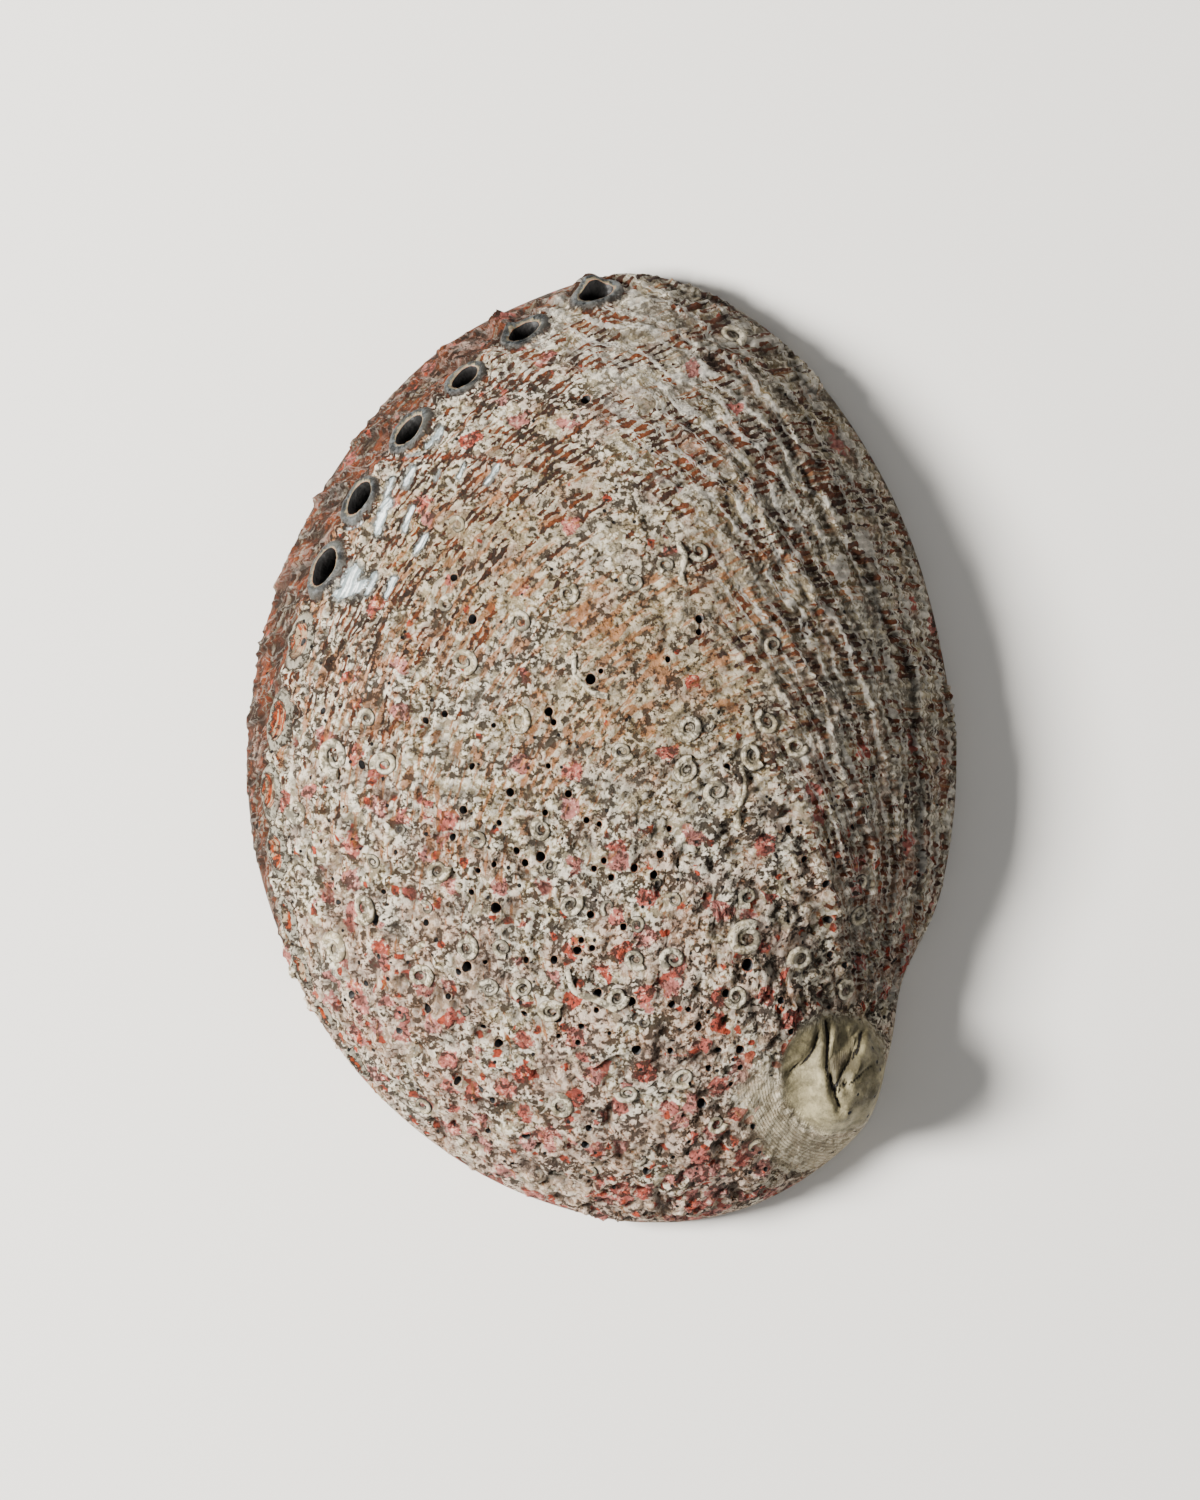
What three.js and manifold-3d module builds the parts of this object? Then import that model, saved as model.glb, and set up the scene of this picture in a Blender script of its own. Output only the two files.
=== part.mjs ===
// An abalone shell, as found: one grown piece, lying on its rim with its back up.
// Millimetres. +X is right and +Y is forwards, seen from above with the spire at the back right; +Z is up.
// The origin is on the surface that the shell lies on, below the middle of its outline.
//
// The bowl is one closed skin of profiles that run from the top of the back, over the rim, across the inner
// ledge and up to the ceiling of the hollow. Growth runs backwards from the lip along a spiral into the
// spire, so cords and the row of breathing holes are that spiral, and growth lines are the lip turned and
// shrunk along it. Holes, their rims, cords, worm tubes and pits are joined to the bowl or cut from it.
import * as THREE from "three";
import { mergeVertices } from "three/addons/utils/BufferGeometryUtils.js";
import Module from "manifold-3d";

const wasm = await Module();
wasm.setup();

// Whole shell
const HEIGHT = 24;
const WALL = 2.3;
const PEAK = new THREE.Vector2(-2, -1);
const SWELLING = 0.3;
const SWELLING_SPAN = 9;

// Rim: it rests on three arcs and lifts a little between them
const RIM_ROUNDING = 1.0;
const RIM_FLAT = 0.9;
const RIM_LIFT = 0.9;
const RIM_LIFT_PHASE = 0.6;

// Inner ledge: narrow behind the lip at the right and front, wide on the side of the holes
const LEDGE_NARROW = 2.6;
const LEDGE_WIDE = 7.0;
const LEDGE_RISE = 2.4;
const LEDGE_SIDE = THREE.MathUtils.degToRad(205);

// Outline from above, forwards tip first and then clockwise
const OUTLINE = [
  [5.3, 47.4], [19.0, 39.9], [30.2, 23.0], [35.3, 2.0], [34.2, -13.5], [30.2, -23.2], [28.8, -30.5],
  [25.6, -38.8], [15.0, -45.9], [2.0, -47.4], [-13.0, -42.2], [-26.0, -30.6], [-33.9, -14.0],
  [-35.4, 2.5], [-30.8, 20.6], [-20.2, 36.4], [-8.0, 44.6],
];
const SUTURE_END = new THREE.Vector2(29.4, -26.0);

// Growth spiral, about the spire
const SPIRE = new THREE.Vector2(23.7, -31.4);
const SPIRAL_RATE = 0.31;
const SQUASH = 0.854;
const SQUASH_TOWARDS = THREE.MathUtils.degToRad(48);

// Breathing holes in a row: place from above, length and width of the hole. The open ones go right through.
const OPEN_HOLES = [
  [-0.5, 45.0, 3.6, 2.4], [-7.6, 41.1, 3.4, 2.2], [-13.4, 36.5, 3.0, 2.0],
  [-18.8, 31.3, 3.6, 2.4], [-23.7, 24.6, 3.6, 2.5], [-27.1, 17.8, 4.0, 2.7],
];
const HEALED_HOLES = [
  [-29.8, 10.6, 3.6, 2.4], [-31.9, 2.8, 3.9, 2.6], [-32.8, -4.1, 3.6, 2.4],
  [-32.1, -10.3, 3.3, 2.2], [-31.1, -16.7, 3.0, 2.0], [-29.7, -21.8, 2.7, 1.8],
];
// A hole's rim stands this high. Its top and foot are wider than the hole by these shares.
const HOLE_RIM = 0.6;
const HOLE_RIM_TOP = 1.3;
const HOLE_RIM_FOOT = 1.95;
const HOLE_DEPTH = 12;
const HEALED_DEPTH = 0.5;

// Cords and growth ledges are ridges that stand this high and wide, rooted in the wall
const RIDGE_ROOT = 0.9;
const CORDS = 10;
const CORD_HEIGHT = 0.42;
const CORD_WIDTH = 2.6;
const CORD_TURN = 1.2;
const CORD_STEPS = 7;
const GROWTH_LEDGES = [0.14, 0.4];
const LEDGE_HEIGHT = 0.4;
const LEDGE_WIDTH = 2.8;
const LEDGE_STEPS = 12;

// Spire: a worn knob with the end of the coil cut round it. Its foot is this much of its height.
const KNOB = new THREE.Vector3(22.9, -32.2, 5.5);
const KNOB_HALF = new THREE.Vector3(6.0, 6.3, 9.8);
const KNOB_FOOT = 0.4;
const COIL_GROOVE = 0.5;
const COIL_GROOVE_TURN = 4.4;

// Worm tubes grown onto the back, each most of a ring: place, outer width, turn of its mouth
const WORM_TUBES = [
  [8.4, 2.1, 3.4, 0.3], [13.8, -0.2, 3.4, 4.2], [11.4, -4.6, 3.8, 1.2], [18.0, 2.2, 3.2, 5.0],
  [-13.5, 9.0, 3.2, 0.8], [-26.0, -1.0, 5.0, 2.9], [12.9, 41.0, 3.6, 5.0], [14.2, -18.8, 4.6, 0.2],
  [-7.2, -20.4, 3.8, 5.2], [-18.0, -18.8, 3.8, 2.6], [-4.6, -32.6, 3.8, 4.7],
];
const WORM_TURN = 5.0;
const WORM_STEPS = 8;

// Borings in the crust: place and width
const PITS = [
  [-1.0, 6.6, 1.4], [-23.0, -15.8, 1.6], [-14.6, -23.4, 1.5], [4.4, -15.2, 1.8], [-2.6, -37.4, 1.5],
  [13.2, -29.4, 1.5], [-2.6, 33.6, 1.5],
];

// A closed curve through points, seen from above
function closedCurve(points) {
  return new THREE.CatmullRomCurve3(
    points.map(([x, y]) => new THREE.Vector3(x, y, 0)), true, "catmullrom", 0.5);
}

const outline = closedCurve(OUTLINE);

// The outline's distance from the peak, in steps of half a degree
const EDGE_STEPS = 720;
const edgeTable = (() => {
  const around = outline.getPoints(EDGE_STEPS * 4).map((p) => {
    const arm = new THREE.Vector2(p.x, p.y).sub(PEAK);
    return { turn: arm.angle(), reach: arm.length() };
  }).sort((a, b) => a.turn - b.turn);
  const table = [];
  let at = 0;
  for (let i = 0; i < EDGE_STEPS; i++) {
    const turn = (i / EDGE_STEPS) * 2 * Math.PI;
    while (at < around.length - 1 && around[at].turn < turn) at++;
    table.push(around[at].reach);
  }
  return table;
})();

function edge(turn) {
  const place = THREE.MathUtils.euclideanModulo(turn / (2 * Math.PI), 1) * EDGE_STEPS;
  const low = Math.floor(place);
  const next = (low + 1) % EDGE_STEPS;
  return THREE.MathUtils.lerp(edgeTable[low % EDGE_STEPS], edgeTable[next], place - low);
}

// How far a direction is on the holes' side: 1 there and 0 at the lip
const holeSide = (turn) => 0.5 + 0.5 * Math.cos(turn - LEDGE_SIDE);
// The back rounds over into a steep flank on the holes' side and slopes more evenly down to the lip
const fullness = (turn) => THREE.MathUtils.lerp(1.3, 1.0, holeSide(turn));
const SPREAD = 0.9;

// Broad, low swellings of the back
function swell(x, y) {
  return SWELLING * Math.sin(x / SWELLING_SPAN + 0.6) * Math.cos(y / SWELLING_SPAN - 0.4);
}

// Point of the back, from a lean of 0 at the peak to a quarter turn at the rim
function backPoint(turn, lean) {
  const reach = edge(turn) * Math.sin(lean) ** SPREAD;
  const x = PEAK.x + reach * Math.cos(turn);
  const y = PEAK.y + reach * Math.sin(turn);
  const rise = Math.cos(lean) ** fullness(turn);
  const z = RIM_ROUNDING + rimLift(turn) + (HEIGHT - RIM_ROUNDING) * rise;
  return new THREE.Vector3(x, y, z + swell(x, y) * Math.cos(lean) ** 2);
}

function rimLift(turn) {
  const wave = Math.cos(3 * turn + RIM_LIFT_PHASE);
  return RIM_LIFT * Math.max(0, (wave - 0.4) / 0.6);
}

// The place on the back below a point seen from above, and the outward normal there
function onBack(x, y) {
  const arm = new THREE.Vector2(x, y).sub(PEAK);
  const turn = arm.angle();
  const share = Math.min(arm.length() / edge(turn), 0.999);
  return backPoint(turn, Math.asin(share ** (1 / SPREAD)));
}

function normalAt(x, y) {
  const step = 0.4;
  const alongX = onBack(x + step, y).sub(onBack(x - step, y));
  const alongY = onBack(x, y + step).sub(onBack(x, y - step));
  return alongX.cross(alongY).normalize();
}

function shareOut(x, y) {
  const arm = new THREE.Vector2(x, y).sub(PEAK);
  return arm.length() / edge(arm.angle());
}

// Growth spiral: a point of the lip, turned back by an angle of growth
function squashed(v, by) {
  const along = new THREE.Vector2(Math.cos(SQUASH_TOWARDS), Math.sin(SQUASH_TOWARDS));
  return v.clone().addScaledVector(along, v.dot(along) * (by - 1));
}

function grownBack(lipPoint, growth) {
  const arm = squashed(lipPoint.clone().sub(SPIRE), 1 / SQUASH);
  arm.rotateAround(new THREE.Vector2(), growth).multiplyScalar(Math.exp(-SPIRAL_RATE * growth));
  return squashed(arm, SQUASH).add(SPIRE);
}

// The lip, from the end of the suture round the right side and the front to past the newest hole
const LIP_PAST_HOLES = new THREE.Vector2(-3.5, 48.5);
const lip = (() => {
  const points = OUTLINE.slice(0, 6).reverse().map(([x, y]) => new THREE.Vector3(x, y, 0));
  points[0].set(SUTURE_END.x, SUTURE_END.y, 0);
  points.push(new THREE.Vector3(LIP_PAST_HOLES.x, LIP_PAST_HOLES.y, 0));
  const curve = new THREE.CatmullRomCurve3(points, false, "catmullrom", 0.5);
  return (share) => {
    const p = curve.getPointAt(share);
    return new THREE.Vector2(p.x, p.y);
  };
})();

// A closed mesh as a solid
function solid(geometry) {
  const bare = geometry.clone();
  bare.deleteAttribute("normal");
  bare.deleteAttribute("uv");
  const merged = mergeVertices(bare, 1e-4);
  return new wasm.Manifold(new wasm.Mesh({
    numProp: 3,
    vertProperties: merged.attributes.position.array,
    triVerts: new Uint32Array(merged.index.array),
  }));
}

// A closed tube from rings of points, the same number in each
function tubeOfRings(rings) {
  const sides = rings[0].length;
  const points = [...rings.flat()];
  const first = points.push(mean(rings[0])) - 1;
  const last = points.push(mean(rings.at(-1))) - 1;
  const faces = [];
  for (let j = 0; j < sides; j++) {
    const next = (j + 1) % sides;
    for (let i = 0; i < rings.length - 1; i++) {
      const a = i * sides;
      faces.push(a + j, a + sides + next, a + next, a + j, a + sides + j, a + sides + next);
    }
    const end = (rings.length - 1) * sides;
    faces.push(first, j, next, last, end + next, end + j);
  }
  return closedMesh(points, faces);
}

function mean(points) {
  return points.reduce((sum, p) => sum.add(p), new THREE.Vector3()).divideScalar(points.length);
}

function closedMesh(points, faces) {
  const geometry = new THREE.BufferGeometry();
  geometry.setAttribute("position", new THREE.Float32BufferAttribute(points.flatMap((p) => p.toArray()), 3));
  geometry.setIndex(faces);
  return geometry;
}

// A ridge that follows places on the back. Its section is given as steps across and up from the back.
function ridgeOnBack(places, sectionAt) {
  const line = places.map(([x, y]) => onBack(x, y));
  const rings = line.map((centre, i) => {
    const ahead = line[Math.min(i + 1, line.length - 1)];
    const behind = line[Math.max(i - 1, 0)];
    const up = normalAt(...places[i]);
    const side = ahead.clone().sub(behind).cross(up).normalize();
    return sectionAt(i).map(([across, over]) =>
      centre.clone().addScaledVector(side, across).addScaledVector(up, over));
  });
  return solid(tubeOfRings(rings));
}

const lowRidge = (width, height) => [[-width / 2, -RIDGE_ROOT], [width / 2, -RIDGE_ROOT], [0, height]];

function roundRidge(radius) {
  return [[-radius, -RIDGE_ROOT], [radius, -RIDGE_ROOT], [radius, 0.5 * radius], [0, 1.25 * radius],
    [-radius, 0.5 * radius]];
}

// The bowl: one profile for each direction from the peak
const AROUND = 56;
const BACK_ROWS = 13;
const CEILING_ROWS = 6;

function rimAndLedge(turn) {
  const out = edge(turn);
  const low = rimLift(turn);
  const ledge = THREE.MathUtils.lerp(LEDGE_NARROW, LEDGE_WIDE, holeSide(turn) ** 2);
  const rise = THREE.MathUtils.lerp(0.5, LEDGE_RISE, holeSide(turn) ** 2);
  return [
    [out, low + RIM_ROUNDING],
    [out - 0.25 * RIM_ROUNDING, low + 0.3 * RIM_ROUNDING],
    [out - 0.8 * RIM_ROUNDING, low],
    [out - 0.8 * RIM_ROUNDING - RIM_FLAT, low],
    [out - 0.92 * ledge, low + 0.75 * rise],
    [out - ledge, low + 1.3 * rise],
  ];
}

function ceilingPoint(turn, lean) {
  const thick = THREE.MathUtils.lerp(WALL - 0.2, WALL + 0.5, holeSide(turn));
  const reach = (edge(turn) - thick) * Math.sin(lean) ** SPREAD;
  const x = PEAK.x + reach * Math.cos(turn);
  const y = PEAK.y + reach * Math.sin(turn);
  const low = RIM_ROUNDING + rimLift(turn);
  const z = low + (HEIGHT - WALL - low) * Math.cos(lean) ** fullness(turn);
  return new THREE.Vector3(x, y, z + swell(x, y) * Math.cos(lean) ** 2);
}

const quarter = Math.PI / 2;
const ringOf = (place) => Array.from({ length: AROUND }, (_, j) => place((j / AROUND) * 2 * Math.PI));

// The room under the ceiling and inside the ledge, down to below the rim
function hollow() {
  const rings = Array.from({ length: CEILING_ROWS }, (_, i) =>
    ringOf((turn) => ceilingPoint(turn, ((i + 1) / (CEILING_ROWS + 1.4)) * quarter)));
  const insideLedge = (drop) => ringOf((turn) => {
    const [reach, z] = rimAndLedge(turn).at(-1);
    return new THREE.Vector3(PEAK.x + reach * Math.cos(turn), PEAK.y + reach * Math.sin(turn), z - drop);
  });
  rings.push(insideLedge(0), insideLedge(HEIGHT / 2));
  return solid(tubeOfRings(rings));
}

function bowl() {
  const rings = [];
  for (let i = 1; i < BACK_ROWS; i++) {
    rings.push((turn) => backPoint(turn, (i / BACK_ROWS) * quarter));
  }
  for (let i = 0; i < rimAndLedge(0).length; i++) {
    rings.push((turn) => {
      const [reach, z] = rimAndLedge(turn)[i];
      return new THREE.Vector3(PEAK.x + reach * Math.cos(turn), PEAK.y + reach * Math.sin(turn), z);
    });
  }
  for (let i = CEILING_ROWS; i > 0; i--) {
    rings.push((turn) => ceilingPoint(turn, (i / (CEILING_ROWS + 1.4)) * quarter));
  }
  const points = rings.flatMap(ringOf);
  const peak = points.push(backPoint(0, 0)) - 1;
  const ceiling = points.push(ceilingPoint(0, 0)) - 1;
  const faces = [];
  for (let j = 0; j < AROUND; j++) {
    const next = (j + 1) % AROUND;
    faces.push(peak, j, next);
    for (let i = 0; i < rings.length - 1; i++) {
      const a = i * AROUND;
      faces.push(a + j, a + AROUND + j, a + AROUND + next, a + j, a + AROUND + next, a + next);
    }
    const end = (rings.length - 1) * AROUND;
    faces.push(ceiling, end + next, end + j);
  }
  return solid(closedMesh(points, faces));
}

// Stands a shape on the back at a place, its Z along the normal and its Y along the row of holes
function standOnBack(geometry, x, y, along) {
  const up = normalAt(x, y);
  const side = new THREE.Vector3().crossVectors(along, up).normalize();
  const fore = new THREE.Vector3().crossVectors(up, side).normalize();
  const place = new THREE.Matrix4().makeBasis(side, fore, up).setPosition(onBack(x, y));
  return geometry.clone().applyMatrix4(place);
}

function rowDirection(holes, i) {
  const [ax, ay] = holes[Math.max(i - 1, 0)];
  const [bx, by] = holes[Math.min(i + 1, holes.length - 1)];
  return onBack(ax, ay).sub(onBack(bx, by)).normalize();
}

const allHoles = [...OPEN_HOLES, ...HEALED_HOLES];

// A worn, raised rim round each hole, before the hole is cut
function holeRim([x, y, length, width], i) {
  const mound = new THREE.CylinderGeometry(HOLE_RIM_TOP, HOLE_RIM_FOOT, HOLE_RIM + RIDGE_ROOT, 12);
  mound.rotateX(Math.PI / 2);
  mound.scale(width / 2, length / 2, 1);
  mound.translate(0, 0, (HOLE_RIM - RIDGE_ROOT) / 2);
  return solid(standOnBack(mound, x, y, rowDirection(allHoles, i)));
}

function holeCut([x, y, length, width], i) {
  const open = i < OPEN_HOLES.length;
  const depth = open ? HOLE_DEPTH : HEALED_DEPTH;
  const proud = 2;
  const plug = new THREE.CylinderGeometry(0.5, open ? 0.62 : 0.3, depth + proud, 12);
  plug.rotateX(Math.PI / 2);
  plug.scale(width, length, 1);
  plug.translate(0, 0, (proud - depth) / 2);
  return solid(standOnBack(plug, x, y, rowDirection(allHoles, i)));
}

// Places along a spiral cord, from the lip backwards, as far as it stays on the back
function cordPlaces(share) {
  const start = lip(share);
  const places = [];
  for (let i = 0; i <= CORD_STEPS; i++) {
    const p = grownBack(start, 0.02 + (i / CORD_STEPS) * CORD_TURN);
    if (shareOut(p.x, p.y) < 0.985) places.push([p.x, p.y]);
  }
  return places;
}

function cord(i) {
  const places = cordPlaces((i + 0.7) / CORDS);
  const taper = (j) => 1 - 0.5 * (j / (places.length - 1));
  return ridgeOnBack(places, (j) => lowRidge(CORD_WIDTH * taper(j), CORD_HEIGHT));
}

// A growth line is the whole lip, turned back
function growthLedge(growth) {
  const places = [];
  for (let i = 1; i <= LEDGE_STEPS; i++) {
    const p = grownBack(lip(i / LEDGE_STEPS), growth);
    if (shareOut(p.x, p.y) < 0.98) places.push([p.x, p.y]);
  }
  return ridgeOnBack(places, () => lowRidge(LEDGE_WIDTH, LEDGE_HEIGHT));
}

// The spire: a worn knob on the outside of the wall
function knob() {
  const ball = new THREE.SphereGeometry(1, 18, 10);
  ball.rotateX(quarter);
  const corners = ball.attributes.position;
  for (let i = 0; i < corners.count; i++) {
    const z = corners.getZ(i);
    corners.setZ(i, z < 0 ? z * KNOB_FOOT : z);
  }
  ball.scale(KNOB_HALF.x, KNOB_HALF.y, KNOB_HALF.z);
  ball.translate(KNOB.x, KNOB.y, KNOB.z);
  return solid(ball).subtract(hollow());
}

// The seam of the last coil, a groove that winds in towards the top of the knob
function coilGroove() {
  const steps = 12;
  const rings = Array.from({ length: steps + 1 }, (_, i) => {
    const share = i / steps;
    const turn = -0.6 + share * COIL_GROOVE_TURN;
    const reach = 0.72 * Math.exp(-0.2 * share * COIL_GROOVE_TURN);
    const height = Math.sqrt(1 - reach * reach);
    const out = new THREE.Vector3(reach * Math.cos(turn), reach * Math.sin(turn), height);
    const centre = out.clone().multiply(KNOB_HALF).add(KNOB);
    const side = new THREE.Vector3(Math.cos(turn), Math.sin(turn), 0);
    return [[-1, 0], [0, -1], [1, 0], [0, 1.5]].map(([across, over]) =>
      centre.clone().addScaledVector(side, across * COIL_GROOVE).addScaledVector(out, over * COIL_GROOVE));
  });
  return solid(tubeOfRings(rings));
}

// A worm tube: most of a ring, that widens to its mouth
function wormTube([x, y, width, mouth]) {
  const up = normalAt(x, y);
  const places = [];
  const radii = [];
  for (let i = 0; i <= WORM_STEPS; i++) {
    const share = i / WORM_STEPS;
    const turn = mouth + (share - 1) * WORM_TURN;
    const radius = width * (0.14 + 0.08 * share);
    const reach = width / 2 - radius;
    places.push([x + reach * Math.cos(turn), y + reach * Math.sin(turn) * up.z]);
    radii.push(radius);
  }
  return ridgeOnBack(places, (i) => roundRidge(radii[i]));
}

function pit([x, y, width]) {
  const drill = new THREE.CylinderGeometry(width / 2, width / 2.6, 2.4, 8);
  drill.rotateX(Math.PI / 2);
  drill.translate(0, 0, 0.2);
  return solid(standOnBack(drill, x, y, new THREE.Vector3(0, 1, 0)));
}

// Joins and cuts
const grown = [
  ...Array.from({ length: CORDS - 1 }, (_, i) => cord(i)),
  ...GROWTH_LEDGES.map(growthLedge),
  knob(),
  ...allHoles.map(holeRim),
  ...WORM_TUBES.map(wormTube),
];
const cuts = [...allHoles.map(holeCut), ...PITS.map(pit), coilGroove()];
const whole = wasm.Manifold.union([bowl(), ...grown]).subtract(wasm.Manifold.union(cuts));

function geometryOf(made) {
  const mesh = made.getMesh();
  const geometry = new THREE.BufferGeometry();
  geometry.setAttribute("position", new THREE.BufferAttribute(new Float32Array(mesh.vertProperties), 3));
  geometry.setIndex(new THREE.BufferAttribute(mesh.triVerts, 1));
  geometry.computeVertexNormals();
  return geometry;
}

const chalkyShell = new THREE.MeshStandardMaterial({ color: 0xb9ab9a, roughness: 0.85, metalness: 0 });
const shell = new THREE.Mesh(geometryOf(whole), chalkyShell);
shell.name = "shell";

const part = new THREE.Group();
part.add(shell);
export default part;
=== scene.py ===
"""A weathered abalone shell, lying mouth down on a pale floor and seen from straight above.

Shapes are worked out in millimetres and put into the meshes in metres. +X is right, +Y is forwards, away
from the spire, and +Z is up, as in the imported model.
"""
import math
import random

import bpy
import numpy as np
from mathutils import Matrix, Vector, noise


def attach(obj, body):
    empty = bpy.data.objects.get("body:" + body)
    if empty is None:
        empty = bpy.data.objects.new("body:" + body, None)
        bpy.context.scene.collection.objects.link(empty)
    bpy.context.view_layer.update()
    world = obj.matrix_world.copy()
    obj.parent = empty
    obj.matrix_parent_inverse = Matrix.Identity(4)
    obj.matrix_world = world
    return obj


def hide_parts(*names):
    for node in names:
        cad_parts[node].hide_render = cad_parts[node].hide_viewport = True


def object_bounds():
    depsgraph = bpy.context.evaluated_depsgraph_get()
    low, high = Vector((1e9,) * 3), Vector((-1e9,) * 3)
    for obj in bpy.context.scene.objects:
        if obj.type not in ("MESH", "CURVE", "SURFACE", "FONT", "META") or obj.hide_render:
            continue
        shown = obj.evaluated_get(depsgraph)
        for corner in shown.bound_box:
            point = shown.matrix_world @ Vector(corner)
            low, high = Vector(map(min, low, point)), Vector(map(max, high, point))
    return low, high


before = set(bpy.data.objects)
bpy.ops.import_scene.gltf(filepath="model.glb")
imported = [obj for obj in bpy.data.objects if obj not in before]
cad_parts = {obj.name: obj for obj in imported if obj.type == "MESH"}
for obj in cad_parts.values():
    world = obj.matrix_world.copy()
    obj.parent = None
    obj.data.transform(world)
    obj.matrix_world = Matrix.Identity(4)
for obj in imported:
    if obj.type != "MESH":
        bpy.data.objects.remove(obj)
cad_box = [list(corner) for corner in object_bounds()]
MM = 0.001
# How far the back and its rim are kept inside the CAD box
BACK_INSET, RIM_INSET = 0.02, 0.001
# Steps of the rim that keep the back's finish, and the mother-of-pearl's place in the list of finishes
RIM_STEPS, NACRE = 4, 1
# Cells across the sheets that the back and the ceiling of the hollow are drawn from
BACK_CELLS, CEILING_CELLS = 280, 76

# Form of the whole shell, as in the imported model
HEIGHT = 24.0
WALL = 2.3
PEAK = np.array([-2.0, -1.0])
SWELLING = 0.3
SWELLING_SPAN = 9.0
RIM_ROUNDING = 1.0
RIM_FLAT = 0.9
RIM_LIFT = 0.9
RIM_LIFT_PHASE = 0.6
LEDGE_NARROW = 2.6
LEDGE_WIDE = 7.0
LEDGE_RISE = 2.4
LEDGE_SIDE = math.radians(205)
SPREAD = 0.9
QUARTER = math.pi / 2
OUTLINE = [
    (5.3, 47.4), (19.0, 39.9), (30.2, 23.0), (35.3, 2.0), (34.2, -13.5), (30.2, -23.2), (28.8, -30.5),
    (25.6, -38.8), (15.0, -45.9), (2.0, -47.4), (-13.0, -42.2), (-26.0, -30.6), (-33.9, -14.0),
    (-35.4, 2.5), (-30.8, 20.6), (-20.2, 36.4), (-8.0, 44.6),
]

# Growth: the lip turned and shrunk along a squashed spiral about the spire. The share along the lip is 1
# where it is LIP_END from the spire
SPIRE = np.array([23.7, -31.4])
SPIRAL_RATE = 0.31
SQUASH = 0.854
SQUASH_TOWARDS = np.array([math.cos(math.radians(48)), math.sin(math.radians(48))])
LIP = [(29.4, -26.0), (34.2, -13.5), (35.3, 2.0), (30.2, 23.0), (19.0, 39.9), (5.3, 47.4), (-3.5, 48.5),
       (-14.0, 49.0), (-26.0, 48.0), (-40.0, 45.0)]
LIP_END = 84
OLDEST_GROWTH = 14.0
CORDS = 44

# Breathing holes: place from above, length along the row and width of the hole, in millimetres
OPEN_HOLES = [
    (-0.5, 45.0, 3.6, 2.4), (-7.6, 41.1, 3.4, 2.2), (-13.4, 36.5, 3.0, 2.0),
    (-18.8, 31.3, 3.6, 2.4), (-23.7, 24.6, 3.6, 2.5), (-27.1, 17.8, 4.0, 2.7),
]
HEALED_HOLES = [
    (-29.8, 10.6, 3.6, 2.4), (-31.9, 2.8, 3.9, 2.6), (-32.8, -4.1, 3.6, 2.4), (-32.1, -10.3, 3.3, 2.2),
    (-31.1, -16.7, 3.0, 2.0), (-29.7, -21.8, 2.7, 1.8), (-27.4, -26.5, 2.4, 1.6), (-24.3, -31.2, 2.2, 1.4),
]

# The worn knob of the spire
KNOB = (23.1, -32.3)
KNOB_HALF = (6.0, 6.6)
KNOB_FOOT = 6.0
KNOB_RISE = 9.2

# Worm tubes: place from above, width of the coil, turns, turn of the mouth in degrees
WORM_TUBES = [
    (8.5, 2.0, 3.2, 1.7, 20), (10.4, 2.1, 1.5, 1.2, 200), (2.0, -0.3, 2.6, 1.5, 160),
    (16.2, 2.6, 3.0, 1.7, 300), (14.7, -0.7, 3.1, 1.6, 140), (19.0, 0.2, 2.9, 1.6, 80),
    (8.3, -2.1, 3.1, 1.8, 250), (11.2, -4.2, 3.0, 1.3, 75), (6.3, 18.0, 2.3, 1.3, 60),
    (3.1, 16.4, 2.5, 1.5, 320), (-3.4, 15.2, 2.8, 1.2, 240), (16.8, 10.2, 2.5, 1.4, 10),
    (12.9, 41.1, 3.6, 1.3, 330), (-26.3, -0.8, 4.6, 1.3, 200), (-21.4, -1.6, 3.2, 1.6, 20),
    (-13.6, 8.6, 3.3, 1.3, 100), (-8.0, 12.4, 2.8, 1.4, 10), (-8.2, 2.6, 3.4, 1.2, 310),
    (-30.2, -6.2, 3.3, 1.4, 70), (-16.1, -12.0, 3.0, 1.5, 200), (-12.3, -9.1, 2.4, 1.3, 330),
    (-23.5, -15.8, 3.5, 1.5, 120), (-26.4, -19.8, 3.9, 1.5, 40), (-13.3, -19.6, 3.0, 1.6, 270),
    (-17.9, -22.4, 3.2, 1.4, 180), (-7.8, -23.6, 2.7, 1.5, 60), (-11.1, -23.6, 2.5, 1.3, 330),
    (-5.0, -25.9, 3.1, 1.6, 210), (-9.8, -19.6, 2.4, 1.4, 110), (-4.1, -35.3, 3.2, 1.6, 300),
    (-17.8, -35.4, 2.8, 1.5, 30), (-3.1, -15.3, 3.0, 1.2, 220), (14.3, -14.6, 2.6, 1.4, 100),
    (14.2, -18.7, 4.5, 1.5, 240), (7.0, -20.7, 3.2, 1.2, 60), (19.5, -20.8, 3.2, 1.5, 300),
    (13.2, -24.4, 2.9, 1.5, 20), (1.5, -24.5, 2.9, 1.5, 190), (8.0, -32.5, 2.8, 1.6, 130),
    (2.5, -34.0, 2.7, 1.4, 350), (25.4, -16.4, 2.7, 1.4, 80), (24.0, -24.0, 3.0, 1.5, 260),
]
# How many more stand at random, and the sunk value each mouth is given, so that its inside is painted dark as
# shade
WORM_TUBES_MORE = 22
MOUTH_PAINTED_SHADE = 2.0
# Knolls of crust on the edge: place from above, half size and rise
CRUST_KNOLLS = [
    ((-10.0, 41.9), (1.8, 1.5), 1.0),
    ((-1.4, 46.0), (2.0, 1.3), 0.8),
    ((-6.2, 43.6), (1.2, 1.0), 0.5),
]

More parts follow.
